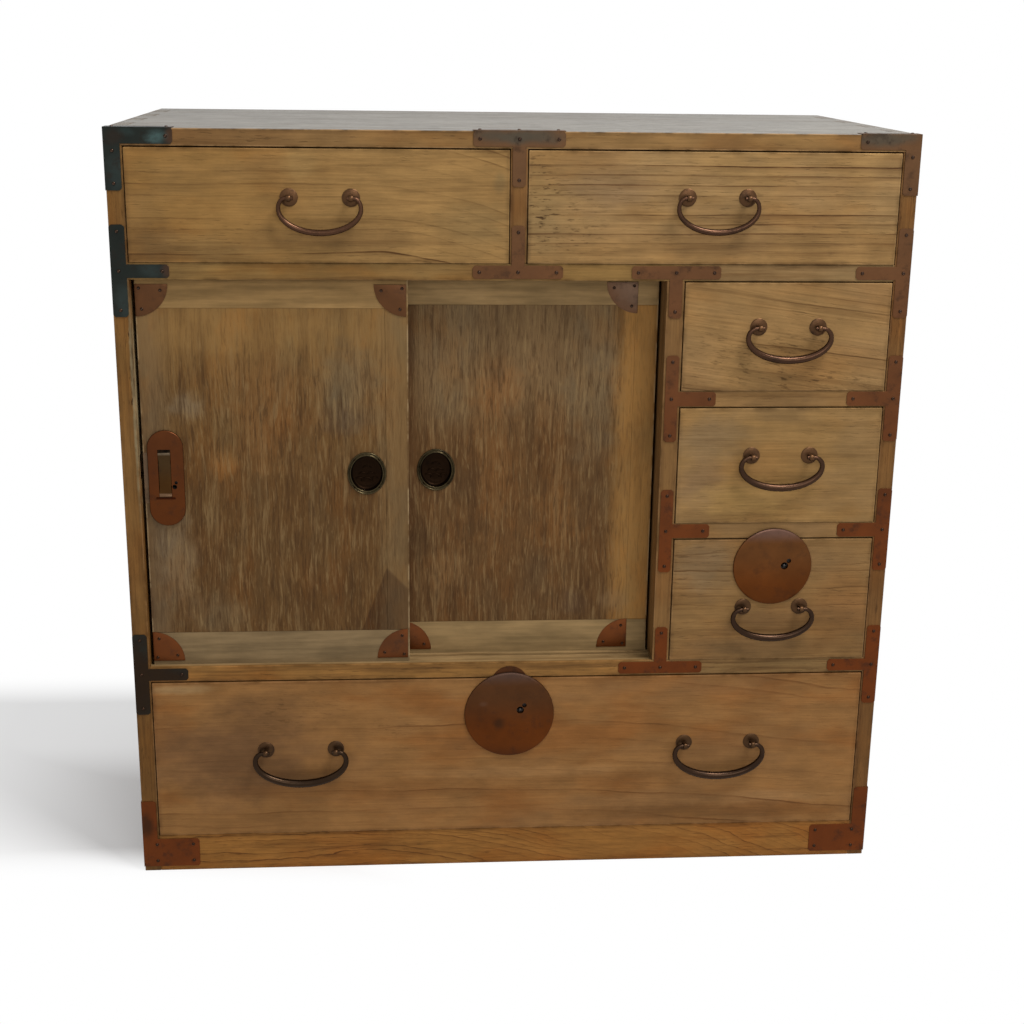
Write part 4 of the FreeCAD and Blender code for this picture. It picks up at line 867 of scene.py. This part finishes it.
doors = {"front_door": (-0.4272, -0.12525, 4, (-0.172, 0.503)), "rear_door": (-0.13375, 0.1425, 3, (-0.091, 0.5))}


def round_edges(shape, edges, width, segments, profile=0.5):
    bmesh.ops.bevel(shape, geom=edges, offset=width, segments=segments, profile=profile, affect="EDGES", material=-1)


def raise_plate(shape, thickness, rounding, segments, profile=0.5):
    """Gives a flat outline its thickness, and rounds its upper edge."""
    lifted = bmesh.ops.extrude_face_region(shape, geom=shape.faces[:])["geom"]
    crown = [item for item in lifted if isinstance(item, bmesh.types.BMVert)]
    bmesh.ops.translate(shape, vec=(0, 0, thickness), verts=crown)
    rim = [edge for edge in shape.edges if all(vert in crown for vert in edge.verts)]
    round_edges(shape, rim, rounding, segments, profile)


def round_offset(radius, angle):
    """The two parts of an offset at an angle in degrees."""
    return radius * cos(radians(angle)), radius * sin(radians(angle))


for door, (left, right, count, pull) in doors.items():
    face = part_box(door + "_frame")[0].y
    centre = Vector((pull[0], face, pull[1]))
    door_nails = bmesh.new()
    corners = ((left, plate_foot), (right, plate_foot), (right, plate_head), (left, plate_head))
    for quarter, (x, z) in enumerate(corners[:count]):
        plate = bmesh.new()
        bmesh.ops.create_circle(plate, cap_ends=True, segments=corner_sides, radius=corner_radius)
        for side in ((1, 0, 0), (0, 1, 0)):
            bmesh.ops.bisect_plane(plate, geom=plate.verts[:] + plate.edges[:] + plate.faces[:],
                                   plane_co=(0, 0, 0), plane_no=side, clear_inner=True)
        raise_plate(plate, corner_thickness, rounding=0.0003, segments=2)
        stand = (Matrix.Translation((x, face, z)) @ Matrix.Rotation(pi / 2, 4, "X")
                 @ Matrix.Rotation(pi / 2 * quarter, 4, "Z"))
        bmesh.ops.transform(plate, matrix=stand, verts=plate.verts)
        finish_piece(plate, f"{door}_corner_{quarter}", plate_copper, door, door + "_fittings")
        for place in corner_nails:
            turned(door_nails, nail_profile, stand @ Vector((*round_offset(*place), corner_thickness)), nail_sides,
                   corner_nail_radius)
    finish_piece(door_nails, door + "_nails", nail_bronze, door)
    for part, profile, bronze in (("dish", dish_profile, pull_bronze), ("rim", rim_profile, bead_bronze)):
        form = bmesh.new()
        turned(form, profile, Vector(), pull_sides)
        bmesh.ops.scale(form, vec=(1, 1, pull_stretch), verts=form.verts)
        bmesh.ops.translate(form, vec=centre, verts=form.verts)
        finish_piece(form, f"{door}_pull_{part}", bronze, door, smooth=60)
    relief = bmesh.new()
    for shift_x, shift_z, radius, start, turn in relief_arcs:
        frames = []
        for step in range(arc_steps + 1):
            x, z = round_offset(1, start + turn * step / arc_steps)
            width = arc_width * (0.35 + 0.65 * sin(pi * (0.1 + 0.8 * step / arc_steps)))
            point = centre + Vector((shift_x + radius * x, relief_depth, shift_z + radius * z))
            frames.append(ring_frame(point, Vector((-z, 0, x)), Vector((0, 1, 0)), width, width))
        swept(relief, frames, arc_sides)
    finish_piece(relief, door + "_pull_relief", pull_bronze, door, smooth=60)
    studs = bmesh.new()
    for angle in (45, 135, 225, 315):
        x, z = round_offset(stud_ring, angle)
        turned(studs, nail_profile, centre + Vector((x, -stud_depth, z * pull_stretch)), nail_sides, stud_radius)
    finish_piece(studs, door + "_pull_studs", pull_bronze, door)


# Door lock
# A long copper plate with round ends covers the lock of the front door.
# A bar slides up in its window, over a lip, and the key goes in beside it.
# A painted shade darkens the plate's rim where it meets the wood.
lock_copper = old_metal(
    "door_lock_copper", (0.08, 0.02, 0.002), (0.08, 0.022, 0.004), levels=(0.44, 0.56), rough=0.42, metal=0.85,
    bump=0.2, grime=0.4, washes=(("y", -0.2138, -0.2128, 0.85, (0.022, 0.007, 0.002)),))
# The bar's two lips carry painted highlights, and a painted shade line runs under the lower lip.
bar_copper = old_metal(
    "latch_bar_copper", (0.05, 0.021, 0.005), (0.05, 0.027, 0.01), levels=(0.49, 0.52), rough=0.32, metal=0.95,
    bump=0.2, washes=(("z", 0.5262, 0.528, 0.7, (0.15, 0.11, 0.07)), ("z", 0.482, 0.4805, 0.7, (0.15, 0.088, 0.05)),
                      ("z", 0.4785, 0.4768, 1, (0.03, 0.006, 0.001))))
low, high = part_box("door_lock_plate")
bar_low, bar_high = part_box("door_latch_bar")
middle = Vector(((low.x + high.x) / 2, high.y, (low.z + high.z) / 2))
end_radius = (high.x - low.x) / 2
straight = (high.z - low.z) / 2 - end_radius
plate_thickness = 0.003
window_gap = 0.0003
key = Vector((-0.3928, high.y, 0.489))
key_parts = ((Vector(), 0.0027), (Vector((0.0018, 0, 0.005)), 0.0019))
lip_reach = 0.004
lip_height = 0.0027
lip_back = 0.0029
bar_cuts = (0.045, 0.075, 0.25, 0.5, 0.75, 0.925, 0.955)
bar_hollow = 0.0012
bar_rim = 0.06
bar_sharp = 0.7


def block(corner, other):
    """A block between two corners."""
    shape = bmesh.new()
    bmesh.ops.create_cube(shape, size=1, matrix=Matrix.Translation((corner + other) / 2)
                          @ Matrix.Diagonal((*(other - corner), 1)))
    return shape


long_plate = bmesh.new()
bmesh.ops.create_circle(long_plate, cap_ends=True, segments=plate_sides, radius=end_radius)
for vert in long_plate.verts:
    vert.co.y += straight if vert.co.y > 0 else -straight
raise_plate(long_plate, plate_thickness, rounding=0.0014, segments=3, profile=0.6)
bmesh.ops.transform(long_plate, matrix=Matrix.Translation(middle) @ Matrix.Rotation(pi / 2, 4, "X"),
                    verts=long_plate.verts)
plate_piece = finish_piece(long_plate, "front_door_long_plate", lock_copper, "front_door",
                           "door_lock_plate")
window = block(Vector((bar_low.x - window_gap, low.y - millimetre, bar_low.z - window_gap)),
               Vector((bar_high.x + window_gap, high.y + millimetre, bar_high.z + plate_thickness + window_gap)))
cut_away(plate_piece, [as_object(window, "window")] + [drill(key + shift, radius) for shift, radius in key_parts])
lip = block(Vector((bar_low.x - lip_reach, low.y, bar_low.z - lip_height)),
            Vector((bar_high.x + lip_reach, high.y - lip_back, bar_low.z - window_gap)))
round_edges(lip, lip.edges[:], width=0.0005, segments=3)
finish_piece(lip, "front_door_lock_lip", bar_copper, "front_door")
bar = block(bar_low, bar_high)
bar_height = bar_high.z - bar_low.z
for share in bar_cuts:
    bmesh.ops.bisect_plane(bar, geom=bar.verts[:] + bar.edges[:] + bar.faces[:],
                           plane_co=(0, 0, bar_low.z + share * bar_height), plane_no=(0, 0, 1))
for vert in bar.verts:
    share = (vert.co.z - bar_low.z) / bar_height
    if vert.co.y < bar_low.y + millimetre / 2 and bar_rim < share < 1 - bar_rim:
        vert.co.y += bar_hollow + bar_hollow * sin(pi * share)
round_edges(bar, [edge for edge in bar.edges if edge.calc_face_angle(0) > bar_sharp], width=0.0006, segments=2)
finish_piece(bar, "front_door_bar", bar_copper, "door_latch_bar", "door_latch_bar")


# Floor and light
# A pale floor takes the soft shadow of the chest, and turns to white away from it.
# One wide lamp hangs above to the right, and a weaker one stands in front.

def white_seen(tree):
    """One where the camera, a mirror or glass looks on, and nought where the surface only lights others."""
    rays = tree.nodes.new("ShaderNodeLightPath").outputs
    return largest(rays["Is Camera Ray"], largest(rays["Is Glossy Ray"], rays["Is Transmission Ray"]))


def soft_lamp(name, place, size, power):
    """A square lamp that looks at the middle of the chest."""
    data = bpy.data.lights.new(name, "AREA")
    data.shape = "SQUARE"
    data.size = size
    data.energy = power
    lamp = linked(name, data)
    lamp.location = place
    lamp.rotation_euler = (Vector(middle_of_chest) - Vector(place)).to_track_quat("-Z", "Y").to_euler()


middle_of_chest = (0, 0, 0.45)
floor_reach = 30
floor_glow = 0.1
ambient = 0.45
white = (1, 1, 1, 1)
shade_centre = (-0.55, 0.1, 0)
floor_mesh = bmesh.new()
bmesh.ops.create_grid(floor_mesh, x_segments=1, y_segments=1, size=floor_reach)
floor = as_object(floor_mesh, "floor")
floor_paint = bpy.data.materials.new("floor_paint")
floor_paint.use_nodes = True
tree = floor_paint.node_tree
tree.nodes.remove(tree.nodes["Principled BSDF"])
paint = wire(tree, "ShaderNodeBsdfDiffuse", {"Color": (0.8, 0.8, 0.8, 1)})
glow = wire(tree, "ShaderNodeEmission", {"Color": white, "Strength": floor_glow})
near = wire(tree, "ShaderNodeAddShader", (paint, glow))
far = wire(tree, "ShaderNodeEmission", {"Color": white, "Strength": 1})
place = wire(tree, "ShaderNodeTexCoord", out="Object")
x, y, _ = apart(place)
leftward = minus(-0.45, x)
away = remap(vector_node("LENGTH", vector_node("SUBTRACT", place, shade_centre), out=1), 0.75, 1.3)
away = largest(away, remap(leftward, 0, 0.3, 0.1, 0.48), remap(leftward, -0.1, -0.35),
               remap(minus(y, times(leftward, 0.1)), -0.14, -0.25), remap(y, 0.2, 0.42),
               remap(y, -0.04, 0.16, 0, 0.46))
pale = wire(tree, "ShaderNodeMixShader", (away, near, far))
fill(tree.nodes["Material Output"], {
    "Surface": wire(tree, "ShaderNodeMixShader", (white_seen(tree), paint, pale))})
floor.data.materials.append(floor_paint)

world = bpy.data.worlds.new("studio")
bpy.context.scene.world = world
world.use_nodes = True
fill(world.node_tree.nodes["Background"], {
    "Color": white, "Strength": plus(times(white_seen(world.node_tree), 1 - ambient), ambient)})
soft_lamp("overhead", (1.1, -1.1, 3), 1.1, 75)
soft_lamp("front", (0.6, -3.6, 1.9), 1.6, 28)


# Camera
# It stands a little above the chest's top, a little left of its middle, and looks down and to the right.
camera_data = bpy.data.cameras.new("camera")
camera_data.sensor_width = 36
camera_data.lens = 56.317
camera = linked("camera", camera_data)
camera.location = (-0.13929, -2.01691, 0.992)
camera.rotation_euler = [radians(angle) for angle in (73.4745, -0.7594, -4.1192)]
bpy.context.scene.camera = camera
bpy.context.scene.view_settings.view_transform = "Standard"
